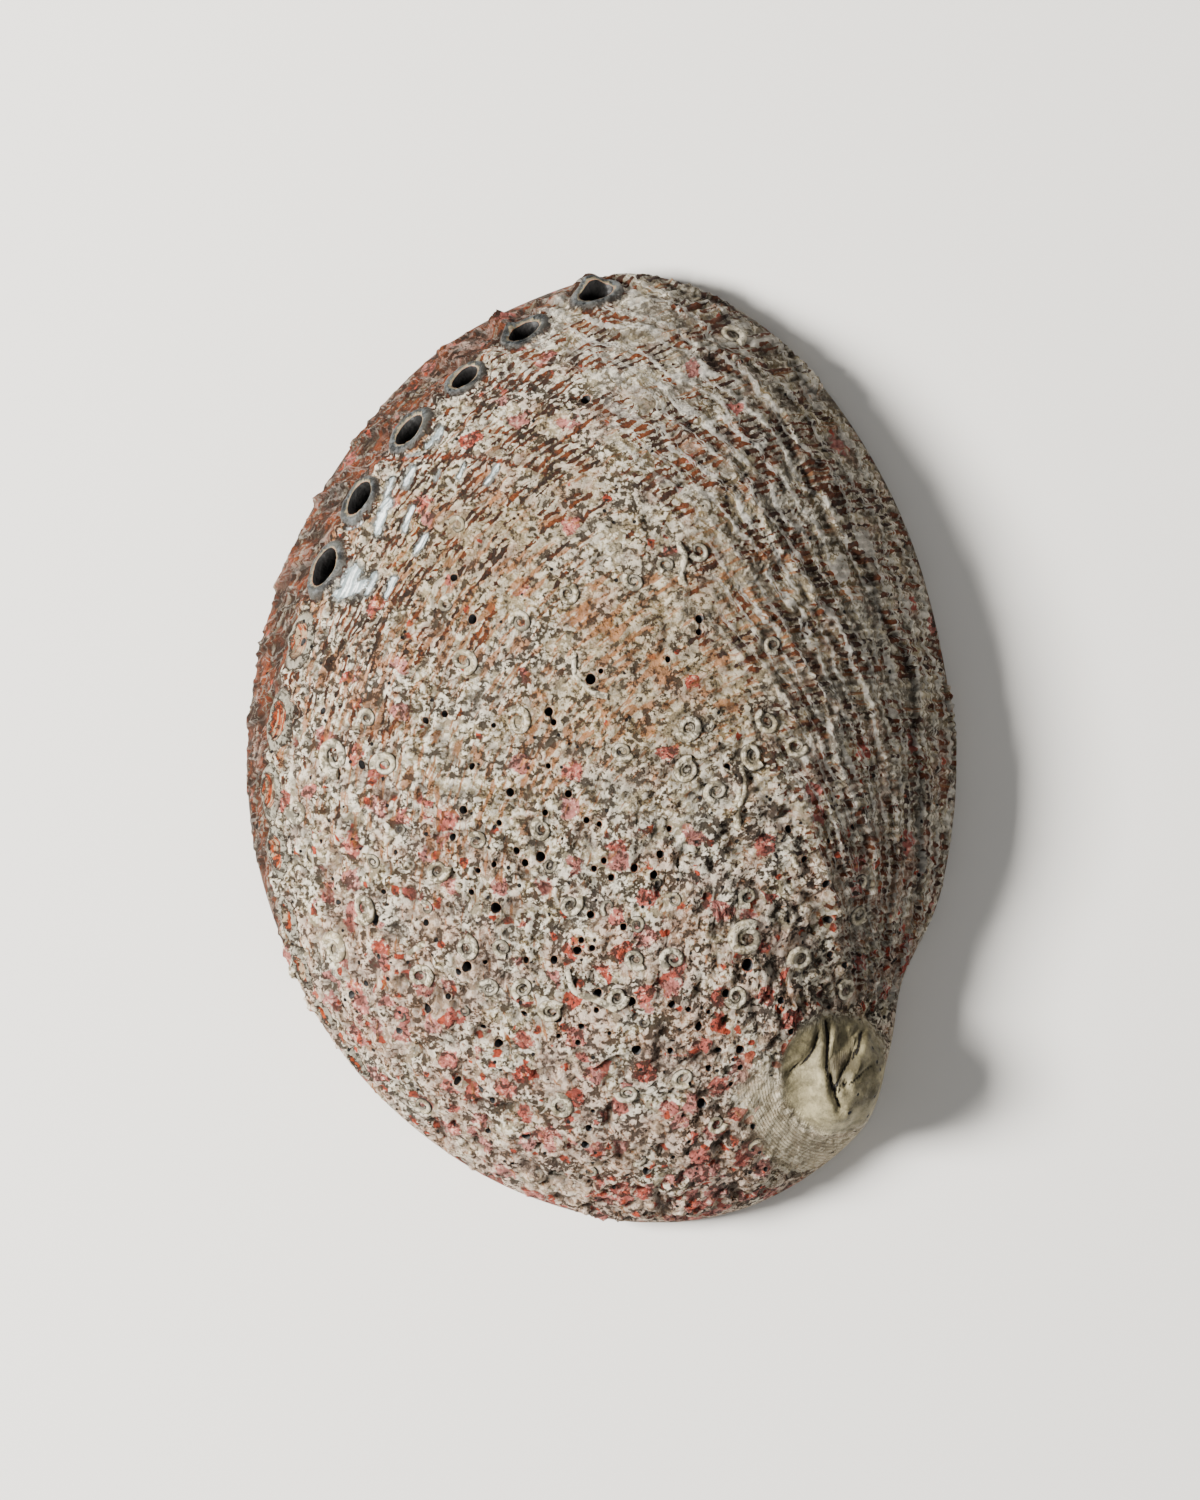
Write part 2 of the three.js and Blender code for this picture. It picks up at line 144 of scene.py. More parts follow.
# Round borings in the crust: place from above and width
BORINGS = [
    (-23.6, -1.6, 1.0), (-12.7, 12.7, 1.1), (-1.1, 6.8, 1.2), (-22.3, -16.9, 1.3), (-13.2, -21.4, 1.1),
    (-4.4, -26.5, 1.2), (-1.6, -39.1, 1.0), (-7.5, -38.3, 1.1), (14.3, -21.3, 1.4), (12.2, -24.1, 1.0),
    (2.9, -24.9, 1.1), (-0.4, -24.0, 1.0), (9.8, -35.0, 1.1), (13.6, -29.7, 1.0), (3.4, -29.7, 1.2),
    (9.5, -27.4, 0.9), (28.9, -21.2, 1.1), (-1.6, 34.5, 1.2), (-13.5, -6.0, 0.9), (-9.0, -4.3, 1.0),
    (-17.2, -25.6, 1.1), (-10.1, -29.0, 1.0), (-20.0, -27.8, 0.9), (5.1, -12.4, 0.9), (-6.0, -10.6, 1.1),
    (-15.4, 3.4, 0.8), (9.4, 12.6, 0.9), (-5.2, 3.6, 1.0), (-10.4, -15.6, 1.2), (-2.4, -19.8, 1.0),
    (18.6, -27.9, 0.8), (21.8, -13.2, 0.9), (-12.0, -33.6, 1.0), (4.4, -41.8, 0.9), (-24.8, -24.4, 0.9),
]
BORINGS_MORE = 80


def spline(points, closed, steps=60):
    """Points along a smooth curve through the given ones."""
    given = np.array(points, float)
    if closed:
        ends = np.vstack([given[-1], given, given[0], given[1]])
    else:
        ends = np.vstack([2 * given[0] - given[1], given, 2 * given[-1] - given[-2]])
    t = np.linspace(0, 1, steps, endpoint=False)[:, None]
    stretches = []
    for a, b, c, d in zip(ends, ends[1:], ends[2:], ends[3:]):
        into, out = (c - a) / 2, (d - b) / 2
        stretches.append(
            b + into * t + (3 * (c - b) - 2 * into - out) * t ** 2 + (2 * (b - c) + into + out) * t ** 3)
    return np.vstack(stretches)


def smooth(low, high, value):
    """0 up to low and 1 from high on, with an eased rise between them. Falls where low is over high."""
    t = np.clip((value - low) / (high - low), 0, 1)
    return t * t * (3 - 2 * t)


def between(a, b, share):
    """The value that far on the way from a to b."""
    return a + (b - a) * share


# Outline as a reach from the peak in each direction
_arms = spline(OUTLINE, True) - PEAK
_turns = np.mod(np.arctan2(_arms[:, 1], _arms[:, 0]), 2 * math.pi)
_order = np.argsort(_turns)
EDGE_TURNS, EDGE_REACH = _turns[_order], np.hypot(*_arms.T)[_order]


def edge(turn):
    """How far the outline is from the peak in a direction."""
    return np.interp(turn, EDGE_TURNS, EDGE_REACH, period=2 * math.pi)


def hole_side(turn):
    """1 on the side of the holes and 0 at the lip."""
    return 0.5 + 0.5 * np.cos(turn - LEDGE_SIDE)


def rim_lift(turn):
    """Height of the rim off the floor: three shallow arches between three feet."""
    return RIM_LIFT * np.maximum(0, (np.cos(3 * turn + RIM_LIFT_PHASE) - 0.4) / 0.6)


def swell(x, y):
    """Slow unevenness of the dome."""
    return SWELLING * np.sin(x / SWELLING_SPAN + 0.6) * np.cos(y / SWELLING_SPAN - 0.4)


def dome(turn, lean):
    """A point of the smooth back, for a lean of 0 at the peak to QUARTER at the rim."""
    reach = edge(turn) * np.sin(lean) ** SPREAD
    x = PEAK[0] + reach * np.cos(turn)
    y = PEAK[1] + reach * np.sin(turn)
    low = RIM_ROUNDING + rim_lift(turn)
    rise = np.cos(lean) ** between(1.3, 1.0, hole_side(turn))
    z = low + (HEIGHT - low) * rise + swell(x, y) * np.cos(lean) ** 2
    return np.stack([x, y, z], -1)


def share_out(x, y):
    """How far from the peak to the rim, and the direction."""
    turn = np.arctan2(y - PEAK[1], x - PEAK[0])
    return np.hypot(x - PEAK[0], y - PEAK[1]) / edge(turn), turn


def back_at(x, y):
    """The point of the smooth back above (x, y)."""
    share, turn = share_out(np.asarray(x, float), np.asarray(y, float))
    return dome(turn, np.arcsin(np.clip(share, 0, 0.999) ** (1 / SPREAD)))


def normal_at(x, y):
    """The smooth back's outward normal above (x, y), from points a step to each side."""
    step = 0.4
    across = back_at(x + step, y) - back_at(x - step, y)
    along = back_at(x, y + step) - back_at(x, y - step)
    out = np.cross(across, along)
    return out / np.linalg.norm(out, axis=-1, keepdims=True)


def squashed(arm, by):
    """An arm from the spire, its part along the squash made longer or shorter by a factor."""
    along = arm @ SQUASH_TOWARDS
    return arm + np.multiply.outer(along * (by - 1), SQUASH_TOWARDS)


# The lip in the unsquashed spiral: its angle and its share of length, by the log of its distance
_lip = spline(LIP, False)
_lip_arm = squashed(_lip - SPIRE, 1 / SQUASH)
LIP_LOG = np.log(np.hypot(*_lip_arm.T))
LIP_ANGLE = np.unwrap(np.arctan2(_lip_arm[:, 1], _lip_arm[:, 0]))
_lip_steps = np.hypot(*np.diff(_lip, axis=0).T)
_lip_length = np.concatenate([[0], np.cumsum(_lip_steps)])
LIP_SHARE = _lip_length / np.interp(math.log(LIP_END), LIP_LOG, _lip_length)


def growth_at(x, y):
    """Angle of growth back from the lip, and the share along the lip that each point grew from."""
    arm = squashed(np.stack([x, y], -1) - SPIRE, 1 / SQUASH)
    distance = np.log(np.maximum(np.hypot(arm[..., 0], arm[..., 1]), 0.05))
    angle = np.arctan2(arm[..., 1], arm[..., 0])
    lip_here = np.interp(distance, LIP_LOG, LIP_ANGLE)
    # growth is found by halving the span from a little past the lip to the oldest. Where that falls inside
    # the lip's inner end, it is found again a whole turn on
    slack = 0.35
    turned = lip_here + np.mod(angle - lip_here + slack, 2 * math.pi) - slack
    for _ in range(2):
        low, high = np.full(turned.shape, -slack), np.full(turned.shape, OLDEST_GROWTH)
        for _ in range(40):
            middle = (low + high) / 2
            past = turned - middle - np.interp(distance + SPIRAL_RATE * middle, LIP_LOG, LIP_ANGLE) > 0
            low, high = np.where(past, middle, low), np.where(past, high, middle)
        growth = (low + high) / 2
        inner = distance + SPIRAL_RATE * growth < LIP_LOG[0]
        turned = np.where(inner, turned + 2 * math.pi, turned)
    return growth, np.interp(distance + SPIRAL_RATE * growth, LIP_LOG, LIP_SHARE)


def grain(points, size, octaves=2):
    """Soft noise from about -1 to 1, with lumps of about that size in millimetres."""
    return np.array([noise.fractal(Vector(p), 1.0, 2.0, octaves, noise_basis="PERLIN_ORIGINAL")
                     for p in points / size])


def cobbles(points, size):
    """Lumps with narrow gaps: how far from a gap each place is, and a fixed chance number for its lump."""
    heights, chances = [], []
    for p in points / size:
        near, centres = noise.voronoi(Vector(p))
        heights.append(near[1] - near[0])
        chances.append(noise.noise(centres[0] * 7.3))
    return np.array(heights), np.array(chances)


def dab(x, y, place, half, turned=0.0):
    """How far inside an oval: 1 at its centre, 0 at its edge, below 0 outside."""
    c, s = math.cos(math.radians(turned)), math.sin(math.radians(turned))
    u = (x - place[0]) * c + (y - place[1]) * s
    v = -(x - place[0]) * s + (y - place[1]) * c
    return 1 - np.hypot(u / half[0], v / half[1])


def hole_row():
    """Each hole with its place on the back, its outward normal and the direction of the row."""
    holes = OPEN_HOLES + HEALED_HOLES
    points = [back_at(x, y) for x, y, _, _ in holes]
    for i, (x, y, length, width) in enumerate(holes):
        up = normal_at(x, y)
        along = points[max(i - 1, 0)] - points[min(i + 1, len(holes) - 1)]
        along = along - up * (along @ up)
        along /= np.linalg.norm(along)
        yield points[i], up, along, np.cross(along, up), length, width


HOLES = list(hole_row())


def hole_ring(points, hole):
    """Distance from a hole's middle, as a share of its half width and in millimetres."""
    place, _, along, side, length, width = hole
    arm = points - place
    return np.hypot(arm @ along / (length / 2), arm @ side / (width / 2)), np.linalg.norm(arm, axis=-1)


# The row of holes lies along this share of the lip, by its eleven youngest
_row = np.array(OPEN_HOLES + HEALED_HOLES[:5])
ROW_SHARE = float(np.mean(growth_at(_row[:, 0], _row[:, 1])[1]))
# An old lip left a step in the growth here
LEDGE_GROWTH = float(growth_at(np.array([-19.5]), np.array([28.6]))[0][0])
# Cracks and folds of the knob as lines from above, with how far down they go
KNOB_CRACKS = [
    ([(21.4, -28.2), (21.0, -29.7), (20.0, -31.1), (18.3, -32.1)], 0.30),
    ([(22.2, -27.0), (22.4, -29.1), (22.1, -31.6), (22.7, -33.4), (23.6, -35.8)], 0.45),
    ([(25.8, -28.1), (25.4, -29.9), (24.2, -31.7), (23.0, -33.9)], 0.35),
    ([(23.1, -34.1), (25.0, -32.9), (26.8, -31.5)], 0.30),
]
# Strips of mother-of-pearl laid bare beside the last holes, as lines from above with their width
PEARL_STRIPS = [
    ([(-18.6, 27.6), (-19.5, 25.8)], 0.60), ([(-16.0, 27.4), (-16.5, 26.5)], 0.40),
    ([(-13.5, 28.0), (-14.1, 26.6)], 0.45), ([(-10.3, 27.8), (-11.4, 26.0)], 0.60),
    ([(-20.6, 26.6), (-21.3, 25.2)], 0.60), ([(-21.1, 24.6), (-22.2, 21.2)], 0.85),
    ([(-18.6, 23.8), (-19.5, 21.5)], 0.50), ([(-17.3, 20.9), (-18.4, 19.2)], 0.60),
    ([(-20.4, 16.8), (-21.2, 15.0)], 0.60), ([(-24.6, 17.4), (-25.7, 15.5)], 1.60),
    ([(-22.4, 17.0), (-23.1, 15.2)], 0.65), ([(-23.6, 16.0), (-25.2, 15.6)], 1.30),
    ([(-23.7, 22.3), (-25.1, 21.7)], 0.50), ([(-18.2, 29.2), (-19.3, 28.7)], 0.45),
    ([(-15.8, 31.7), (-17.2, 29.8)], 0.60),
]
# Uncoiled worm tubes, as lines from above with their width
WORM_TRAILS = [
    ([(13.6, -1.6), (13.9, -4.0), (13.2, -6.2), (13.4, -8.2)], 0.9),
    ([(11.6, -1.9), (12.9, -2.8), (13.4, -4.8), (12.2, -6.6)], 0.8),
    ([(7.4, 20.3), (8.1, 18.8), (7.7, 16.9), (8.2, 15.6)], 0.9),
    ([(-2.7, 9.4), (-2.6, 7.2), (-1.2, 5.6), (0.8, 5.0)], 0.8),
    ([(-3.4, -21.7), (-2.7, -23.8), (-0.4, -24.7), (1.7, -25.8)], 0.9),
    ([(16.5, -9.2), (18.2, -10.0), (19.2, -11.8)], 0.7),
    ([(-19.0, -20.2), (-17.4, -19.2), (-15.8, -20.0)], 0.8),
]


def scattered(count, taken, clear):
    """Places for what grows or bores in the crust, most of them at the back left."""
    found = []
    while len(found) < count:
        x, y = random.uniform(-34, 28), random.uniform(-46, 22)
        share, _ = share_out(x, y)
        wanted = 0.25 + 0.75 * (y < -6) - 0.2 * (x > 14)
        if share > 0.93 or random.random() > wanted or dab(x, y, KNOB, (8, 8.6)) > 0:
            continue
        if all(math.hypot(x - a, y - b) > clear + c / 2 for a, b, c in taken):
            found.append((x, y))
            taken.append((x, y, 1.0))
    return found


random.seed(11)
_taken = [t[:3] for t in WORM_TUBES] + [(h[0], h[1], 6.0) for h in OPEN_HOLES + HEALED_HOLES]
WORMS = WORM_TUBES + [
    (x, y, random.uniform(1.3, 2.8), random.uniform(0.5, 1.7), random.uniform(0, 360))
    for x, y in scattered(WORM_TUBES_MORE, _taken, 1.6)]
ALL_BORINGS = BORINGS + [(x, y, random.uniform(0.5, 0.9)) for x, y in scattered(BORINGS_MORE, _taken, 0.7)]


def off_line(x, y, path):
    """Distance in millimetres from a line drawn from above."""
    away = np.full(len(x), 9.0)
    for (x0, y0), (x1, y1) in zip(path, path[1:]):
        run = np.array([x1 - x0, y1 - y0])
        t = np.clip(((x - x0) * run[0] + (y - y0) * run[1]) / (run @ run), 0, 1)
        away = np.minimum(away, np.hypot(x - x0 - t * run[0], y - y0 - t * run[1]))
    return away


def survey(x, y, points):
    """Relief of the back along its normal, and masks of what each place is made of and of its grime and
    painted shade.
    """
    growth, share = growth_at(x, y)
    out, _ = share_out(x, y)
    drift, wander = grain(points, 9.0), grain(points, 3.2)
    rough = grain(points, 1.2, 3)
    flank = smooth(ROW_SHARE + 0.005, ROW_SHARE + 0.03, share)
    shoulder = growth - (0.65 - 0.45 * share)
    young = np.maximum(1 - smooth(-0.07, 0.09, shoulder + 0.06 * drift), flank * smooth(1.6, 1.0, growth))
    on_knob = dab(x, y, KNOB, KNOB_HALF) + 0.05 * wander
    knob = smooth(-0.02, 0.16, on_knob)
    striae = smooth(-0.95, -0.3, on_knob + 0.25 * wander) * smooth(-29, -34, y) * (1 - knob)
    crust = (1 - 0.7 * young) * (1 - knob) * (1 - 0.85 * striae)
    tan = np.maximum(dab(x, y, (6, 9), (17, 12), 35), dab(x, y, (-12, 20), (16, 9), 20))
    tan = smooth(-0.3, 0.7, tan + 0.3 * drift)
    crust *= between(0.5, 1.0, smooth(10, -8, y + 0.4 * x + 5 * drift)) * (1 - 0.5 * tan)

    # cords, twice as many near the lip, and growth lines that step down towards it
    cord = 2 * CORDS * share + 0.22 * wander
    fine = 0.5 + 0.5 * np.cos(2 * math.pi * cord)
    wide = 0.5 + 0.5 * np.cos(math.pi * cord)
    cords = between(wide, fine, smooth(0.5, 0.36, growth))
    line = growth * 30 + 0.30 * wander + 0.5 * grain(np.stack([growth * 30, share * 14, share * 0], -1), 1.0)
    lamella = np.mod(line, 1.0) ** 2
    step = np.mod(growth * 8.5 + 0.35 * drift, 1.0) ** 3

    # crust: lumps in clumps, small grains between them and eaten pits
    clump = smooth(-0.35, 0.25, grain(points + 50, 5.0))
    lump_gap, lump_chance = cobbles(points + 0.9 * np.stack([wander, -drift, -wander], -1), 2.4)
    lumps = clump * smooth(0.02, 0.32, lump_gap) * (0.6 + 0.9 * lump_chance)
    small_gap, small_chance = cobbles(points + 0.5 * np.stack([rough, wander, -rough], -1), 1.1)
    small = smooth(0.0, 0.4, small_gap) * (0.5 + 0.9 * small_chance)
    pits = smooth(0.24, 0.42, grain(points + 31, 1.8, 2))
    height = (
        cords * between(0.30, 0.07, crust) * (1 - 0.9 * striae)
        + lamella * young * (0.24 + 0.10 * wander)
        + step * between(0.60, 0.15, crust) * (1 - 0.8 * striae)
        + crust * (0.48 * lumps + 0.25 * small - 0.50 * pits)
        + 0.24 * rough * (1 - 0.9 * knob) * (1 - 0.8 * striae)
    )
    height = height * (1 - knob) + 0.5 * np.exp(-(shoulder / 0.05) ** 2) * smooth(0.5, 0.15, share)
    # darker in gaps between lumps, in pits, in grooves between cords and growth lines and in low places:
    # partly grime, partly painted shade
    gap_shade_and_grime = (
        0.6 * crust * clump * (1 - smooth(0.0, 0.13, lump_gap))
        + 0.25 * crust * (1 - smooth(0.0, 0.12, small_gap))
        + 0.6 * crust * pits
        + between(0.55, 0.25, crust) * (1 - cords) ** 2
        + 0.6 * young * np.exp(-(np.mod(growth * 8.5 + 0.35 * drift, 1.0) / 0.10) ** 2)
        + 0.35 * smooth(-0.15, -0.5, rough)
    ) * (1 - knob) * (1 - 0.7 * striae)
    gap_shade_and_grime *= 1 - 0.5 * smooth(-0.5, 0.5, dab(x, y, (9, -19), (12, 9)))

    # the row stands on a low keel with a groove outside it
    off_row = share - ROW_SHARE
    height += 0.55 * np.exp(-(off_row / 0.022) ** 2) - 0.55 * np.exp(-((off_row - 0.05) / 0.022) ** 2)

    # holes have raised collars, and healed ones are pale rings round a sunk middle
    ring, scar = np.full(len(x), 4.0), np.full(len(x), 4.0)
    for i, hole in enumerate(HOLES):
        away, near = hole_ring(points, hole)
        field = ring if i < len(OPEN_HOLES) else scar
        np.minimum(field, np.where(near < 7, away, 4.0), out=field)
    ring *= 1 + 0.15 * wander
    scar *= 1 + 0.10 * wander
    calm = 1 - smooth(1.7, 2.1, np.minimum(ring, scar + 0.3))
    height = between(height, 0.1, 0.93 * calm)
    gap_shade_and_grime *= 1 - calm
    uneven = 1 + 0.5 * rough
    height += 0.75 * (1 + 0.15 * rough) * smooth(1.85, 1.40, ring) * (0.55 + 0.45 * smooth(0.9, 1.3, ring))
    scar_ring = 0.42 * smooth(1.62, 1.30, scar) * smooth(0.8, 1.1, scar)
    height += uneven * (scar_ring - 0.35 * smooth(1.0, 0.5, scar))
    height -= 0.3 * np.exp(-((ring - 1.98) / 0.13) ** 2) + 0.2 * np.exp(-((scar - 1.75) / 0.12) ** 2)

    for x0, y0, width, _, _ in WORMS:
        away = np.hypot(x - x0, y - y0) / (width / 2)
        height = between(height, 0.05, 0.75 * (1 - smooth(0.85, 1.2, away)))
        # a dark ring at each coil's foot and a dark middle: painted shade in the crevice and in the coil's
        # hollow
        gap_shade_and_grime = np.maximum(gap_shade_and_grime, 0.8 * np.exp(-((away - 1.06) / 0.12) ** 2) + np.exp(-(away / 0.22) ** 2))
    for path, width in PEARL_STRIPS:
        bare = smooth(width / 2 + 0.3, width / 2, off_line(x, y, path))
        height, gap_shade_and_grime = between(height, 0.15, 0.8 * bare), gap_shade_and_grime * (1 - bare)
    for place, half, rise in CRUST_KNOLLS:
        height += rise * smooth(0.0, 0.7, dab(x, y, place, half) + 0.15 * rough)

    # the knob of the spire: a worn dome with lobes, old cracks and an eaten hollow
    oval = np.hypot((x - KNOB[0]) / KNOB_HALF[0], (y - KNOB[1]) / KNOB_HALF[1])
    knob_lift = KNOB_FOOT + KNOB_RISE * np.sqrt(np.clip(1 - oval ** 2, 0, 1))
    hollow = smooth(0.0, 0.3, dab(x, y, (23.8, -30.7), (1.7, 3.3), -14) + 0.25 * grain(points, 1.3))
    height += knob * (0.30 * grain(points, 3.4) + 0.05 * rough - 0.75 * hollow)
    crack = np.full(len(x), 3.0)
    for path, depth in KNOB_CRACKS:
        away = off_line(x, y, path)
        height -= depth * np.exp(-(away / 0.28) ** 2)
        height += 0.3 * depth * np.exp(-((away - 0.7) / 0.4) ** 2)
        crack = np.minimum(crack, away)
    # the knob's eaten hollow is darkened with grime and painted shade
    gap_shade_and_grime = np.clip(gap_shade_and_grime + 0.75 * hollow * knob * (0.6 + 0.8 * rough), 0, 1)

    # stains, by where they lie
    patchy = 0.5 + 0.5 * grain(points, 7.0)
    back_left = smooth(-4, -26, y - 0.25 * x) * (1 - 0.6 * smooth(14, 24, x + 0.3 * y + 8))
    coral = (
        0.06 + 0.42 * back_left * patchy
        + 0.08 * smooth(-0.4, 0.6, dab(x, y, (14, -24), (16, 18), 20)) * patchy
        + 0.30 * smooth(-0.3, 0.6, dab(x, y, (-22, -14), (10, 16))) * patchy
        + 0.25 * smooth(-0.2, 0.5, dab(x, y, (-14, 41), (9, 2.5), 38))
        + 0.22 * smooth(-0.3, 0.5, dab(x, y, (3, -41), (19, 8))) * patchy
    )
    coral *= 1 - 0.6 * flank * smooth(-8, 2, y) * smooth(36, 28, y)
    coral *= (1 - knob) * (1 - 0.9 * striae) * between(1, 0.35, young * smooth(-10, 5, y) * (1 - flank))
    ochre = (
        0.14 + 0.34 * smooth(-0.5, 0.6, dab(x, y, (9, 10), (14, 9), 35)) * patchy
        + 0.50 * smooth(-0.4, 0.6, dab(x, y, (-15, 6), (17, 20))) * patchy
    ) * (1 - 0.75 * flank) * (1 - knob)
    near_row = smooth(ROW_SHARE - 0.42, ROW_SHARE - 0.12, share) * smooth(1.25, 0.6, growth)
    brown = np.clip(0.85 * (1 - smooth(-0.02, 0.14, shoulder)) + near_row + flank, 0, 1) * (1 - knob)
    old_lip = np.abs(growth - LEDGE_GROWTH) * 50 + 2 * smooth(0.3, 0.0, dab(x, y, (-16, 27), (13, 6), -15))
    pearl = np.full(len(x), 4.0)
    for path, width in PEARL_STRIPS:
        pearl = np.minimum(pearl, off_line(x, y, path) / (width / 2))
    pearl += 0.3 * wander + 0.45 * rough
    fade = 1 - smooth(0.985, 1.0, out)
    return dict(
        height=height * fade, knob_lift=knob_lift, gap_shade_and_grime=gap_shade_and_grime, young=young, crust=crust, knob=knob,
        striae=striae, flank=flank, ring=ring, scar=scar, crack=crack, old_lip=old_lip, pearl=pearl,
        coral=coral, ochre=ochre, brown=brown, tan=tan, cord=cord, line=line, around_knob=oval * 14)


MASKS = ("gap_shade_and_grime", "young", "crust", "knob", "striae", "flank", "ring", "scar", "crack", "old_lip", "pearl",
         "coral", "ochre", "brown", "tan", "cord", "line", "around_knob")


def only(*pieces):
    """Selects these objects alone, the last of them active."""
    bpy.ops.object.select_all(action="DESELECT")
    for piece in pieces:
        piece.select_set(True)
        bpy.context.view_layer.objects.active = piece


def places(piece):
    """The piece's corners in millimetres."""
    flat = np.empty(len(piece.data.vertices) * 3)
    piece.data.vertices.foreach_get("co", flat)
    return flat.reshape(-1, 3) / MM


def put(piece, points):
    """Moves the piece's corners to these places in millimetres."""
    piece.data.vertices.foreach_set("co", (points * MM).ravel())
    piece.data.update()


def round_sheet(name, cells):
    """A square grid to be drawn out round: the piece, each corner's ring from 0 to 1 and its direction."""
    bpy.ops.object.select_all(action="DESELECT")
    bpy.ops.mesh.primitive_grid_add(x_subdivisions=cells, y_subdivisions=cells, size=2, calc_uvs=False)
    piece = bpy.context.object
    piece.name = name
    a, b, _ = (places(piece) * MM).T
    ring = np.maximum(np.abs(a), np.abs(b))
    sideways = np.abs(a) >= np.abs(b)
    with np.errstate(divide="ignore", invalid="ignore"):
        turn = np.where(sideways, b / a * math.pi / 4 + math.pi * (a < 0),
                        QUARTER - a / b * math.pi / 4 + math.pi * (b < 0))
    return piece, ring, np.nan_to_num(turn)


def out_ways(piece):
    """The way out of the surface at each of the piece's corners."""
    flat = np.empty(len(piece.data.vertices) * 3)
    piece.data.vertex_normals.foreach_get("vector", flat)
    return flat.reshape(-1, 3)


def back_skin():
    """The back: a fine sheet drawn over the dome and the knob, then its relief along the surface's normal."""
    skin, ring, turn = round_sheet("weathered_shell", BACK_CELLS)
    lean = QUARTER * (0.86 * ring + 0.14 * ring ** 2)
    points = dome(turn, lean)
    x, y = points[:, 0].copy(), points[:, 1].copy()
    found = survey(x, y, points)
    raised = np.logaddexp(points[:, 2], found["knob_lift"])
    inside = smooth(1.35, 0.9, np.hypot((x - KNOB[0]) / KNOB_HALF[0], (y - KNOB[1]) / KNOB_HALF[1]))
    points[:, 2] = between(points[:, 2], raised, inside * (1 - smooth(0.9, 1.0, ring)))
    put(skin, points)
    points = points + out_ways(skin) * found["height"][:, None]
    low, high = np.array(cad_box) / MM
    put(skin, np.clip(points, low + BACK_INSET, high - BACK_INSET))
    for name in MASKS:
        mask = skin.data.attributes.new(name, "FLOAT", "POINT")
        mask.data.foreach_set("value", found[name].astype(np.float32))
    return skin


def rim_and_ledge(turn):
    """Reach and height of each step from the back's edge, round the rim's foot and in over the ledge."""
    out, low = edge(turn), rim_lift(turn)
    side = hole_side(turn) ** 2
    ledge, rise = between(LEDGE_NARROW, LEDGE_WIDE, side), between(0.5, LEDGE_RISE, side)
    return [
        (out - 0.08, low + 0.6 * RIM_ROUNDING), (out - 0.25, low + 0.3 * RIM_ROUNDING),
        (out - 0.5, low + 0.08), (out - 0.8, low), (out - 0.8 - RIM_FLAT, low),
        (out - 0.75 * ledge - 0.4, low + 0.35 * rise), (out - 0.92 * ledge, low + 0.75 * rise),
        (out - ledge, low + 1.3 * rise),
    ]


def ceiling(turn, lean):
    """A point of the hollow's smooth ceiling, a wall's thickness under the back."""
    thin = between(WALL - 0.2, WALL + 0.5, hole_side(turn))
    reach = (edge(turn) - thin) * np.sin(lean) ** SPREAD
    x, y = PEAK[0] + reach * np.cos(turn), PEAK[1] + reach * np.sin(turn)
    low = RIM_ROUNDING + rim_lift(turn)
    rise = np.cos(lean) ** between(1.3, 1.0, hole_side(turn))
    return np.stack([x, y, low + (HEIGHT - WALL - low) * rise + swell(x, y) * np.cos(lean) ** 2], -1)


def roll_rim(skin):
    """Rolls the back's open edge round the rim and in over the ledge, one extrusion for each step."""
    only(skin)
    low, high = np.array(cad_box) / MM
    for step in range(len(rim_and_ledge(np.zeros(1)))):
        before = len(skin.data.polygons)
        bpy.ops.object.mode_set(mode="EDIT")
        bpy.ops.mesh.select_mode(type="EDGE")
        if step == 0:
            bpy.ops.mesh.select_all(action="DESELECT")
            bpy.ops.mesh.select_non_manifold()
        bpy.ops.mesh.extrude_region_move()
        bpy.ops.object.mode_set(mode="OBJECT")
        new = np.empty(len(skin.data.vertices), bool)
        skin.data.vertices.foreach_get("select", new)
        points = places(skin)
        turn = np.arctan2(points[new, 1] - PEAK[1], points[new, 0] - PEAK[0])
        reach, z = rim_and_ledge(turn)[step]
        ring = np.stack([PEAK[0] + reach * np.cos(turn), PEAK[1] + reach * np.sin(turn), z], -1)
        points[new] = np.clip(ring, low + RIM_INSET, high - RIM_INSET)
        put(skin, points)
        if step >= RIM_STEPS:
            for face in skin.data.polygons[before:]:
                face.material_index = NACRE


def line_inside(skin):
    """Adds the ceiling of the hollow, faced downwards, and bridges it to the ledge."""
    roof, ring, turn = round_sheet("ceiling", CEILING_CELLS)
    put(roof, ceiling(turn, 0.81 * QUARTER * ring))
    only(roof)
    bpy.ops.object.mode_set(mode="EDIT")
    bpy.ops.mesh.select_all(action="SELECT")
    bpy.ops.mesh.flip_normals()
    bpy.ops.object.mode_set(mode="OBJECT")
    for material in skin.data.materials:
        roof.data.materials.append(material)
    for face in roof.data.polygons:
        face.material_index = NACRE
    only(roof, skin)
    bpy.ops.object.join()
    before = len(skin.data.polygons)
    bpy.ops.object.mode_set(mode="EDIT")
    bpy.ops.mesh.select_all(action="DESELECT")
    bpy.ops.mesh.select_mode(type="EDGE")
    bpy.ops.mesh.select_non_manifold()
    bpy.ops.mesh.bridge_edge_loops()
    bpy.ops.object.mode_set(mode="OBJECT")
    for face in skin.data.polygons[before:]:
        face.material_index = NACRE


def drill(place, up, along, length, width, above, below, sides, taper=1.0):
    """A cutter: an oval peg along a normal, in millimetres."""
    bpy.ops.object.select_all(action="DESELECT")
    bpy.ops.mesh.primitive_cone_add(vertices=sides, radius1=0.5 * taper, radius2=0.5, depth=above + below)
    peg = bpy.context.object
    side = np.cross(along, up)
    turned = Matrix((side * width, along * length, up)).transposed().to_4x4()
    peg.data.transform(Matrix.Translation((0, 0, (above - below) / 2)))
    peg.data.transform(turned)
    peg.data.transform(Matrix.Translation(place))
    peg.data.transform(Matrix.Scale(MM, 4))
    peg.data.materials.append(lining)
    return peg


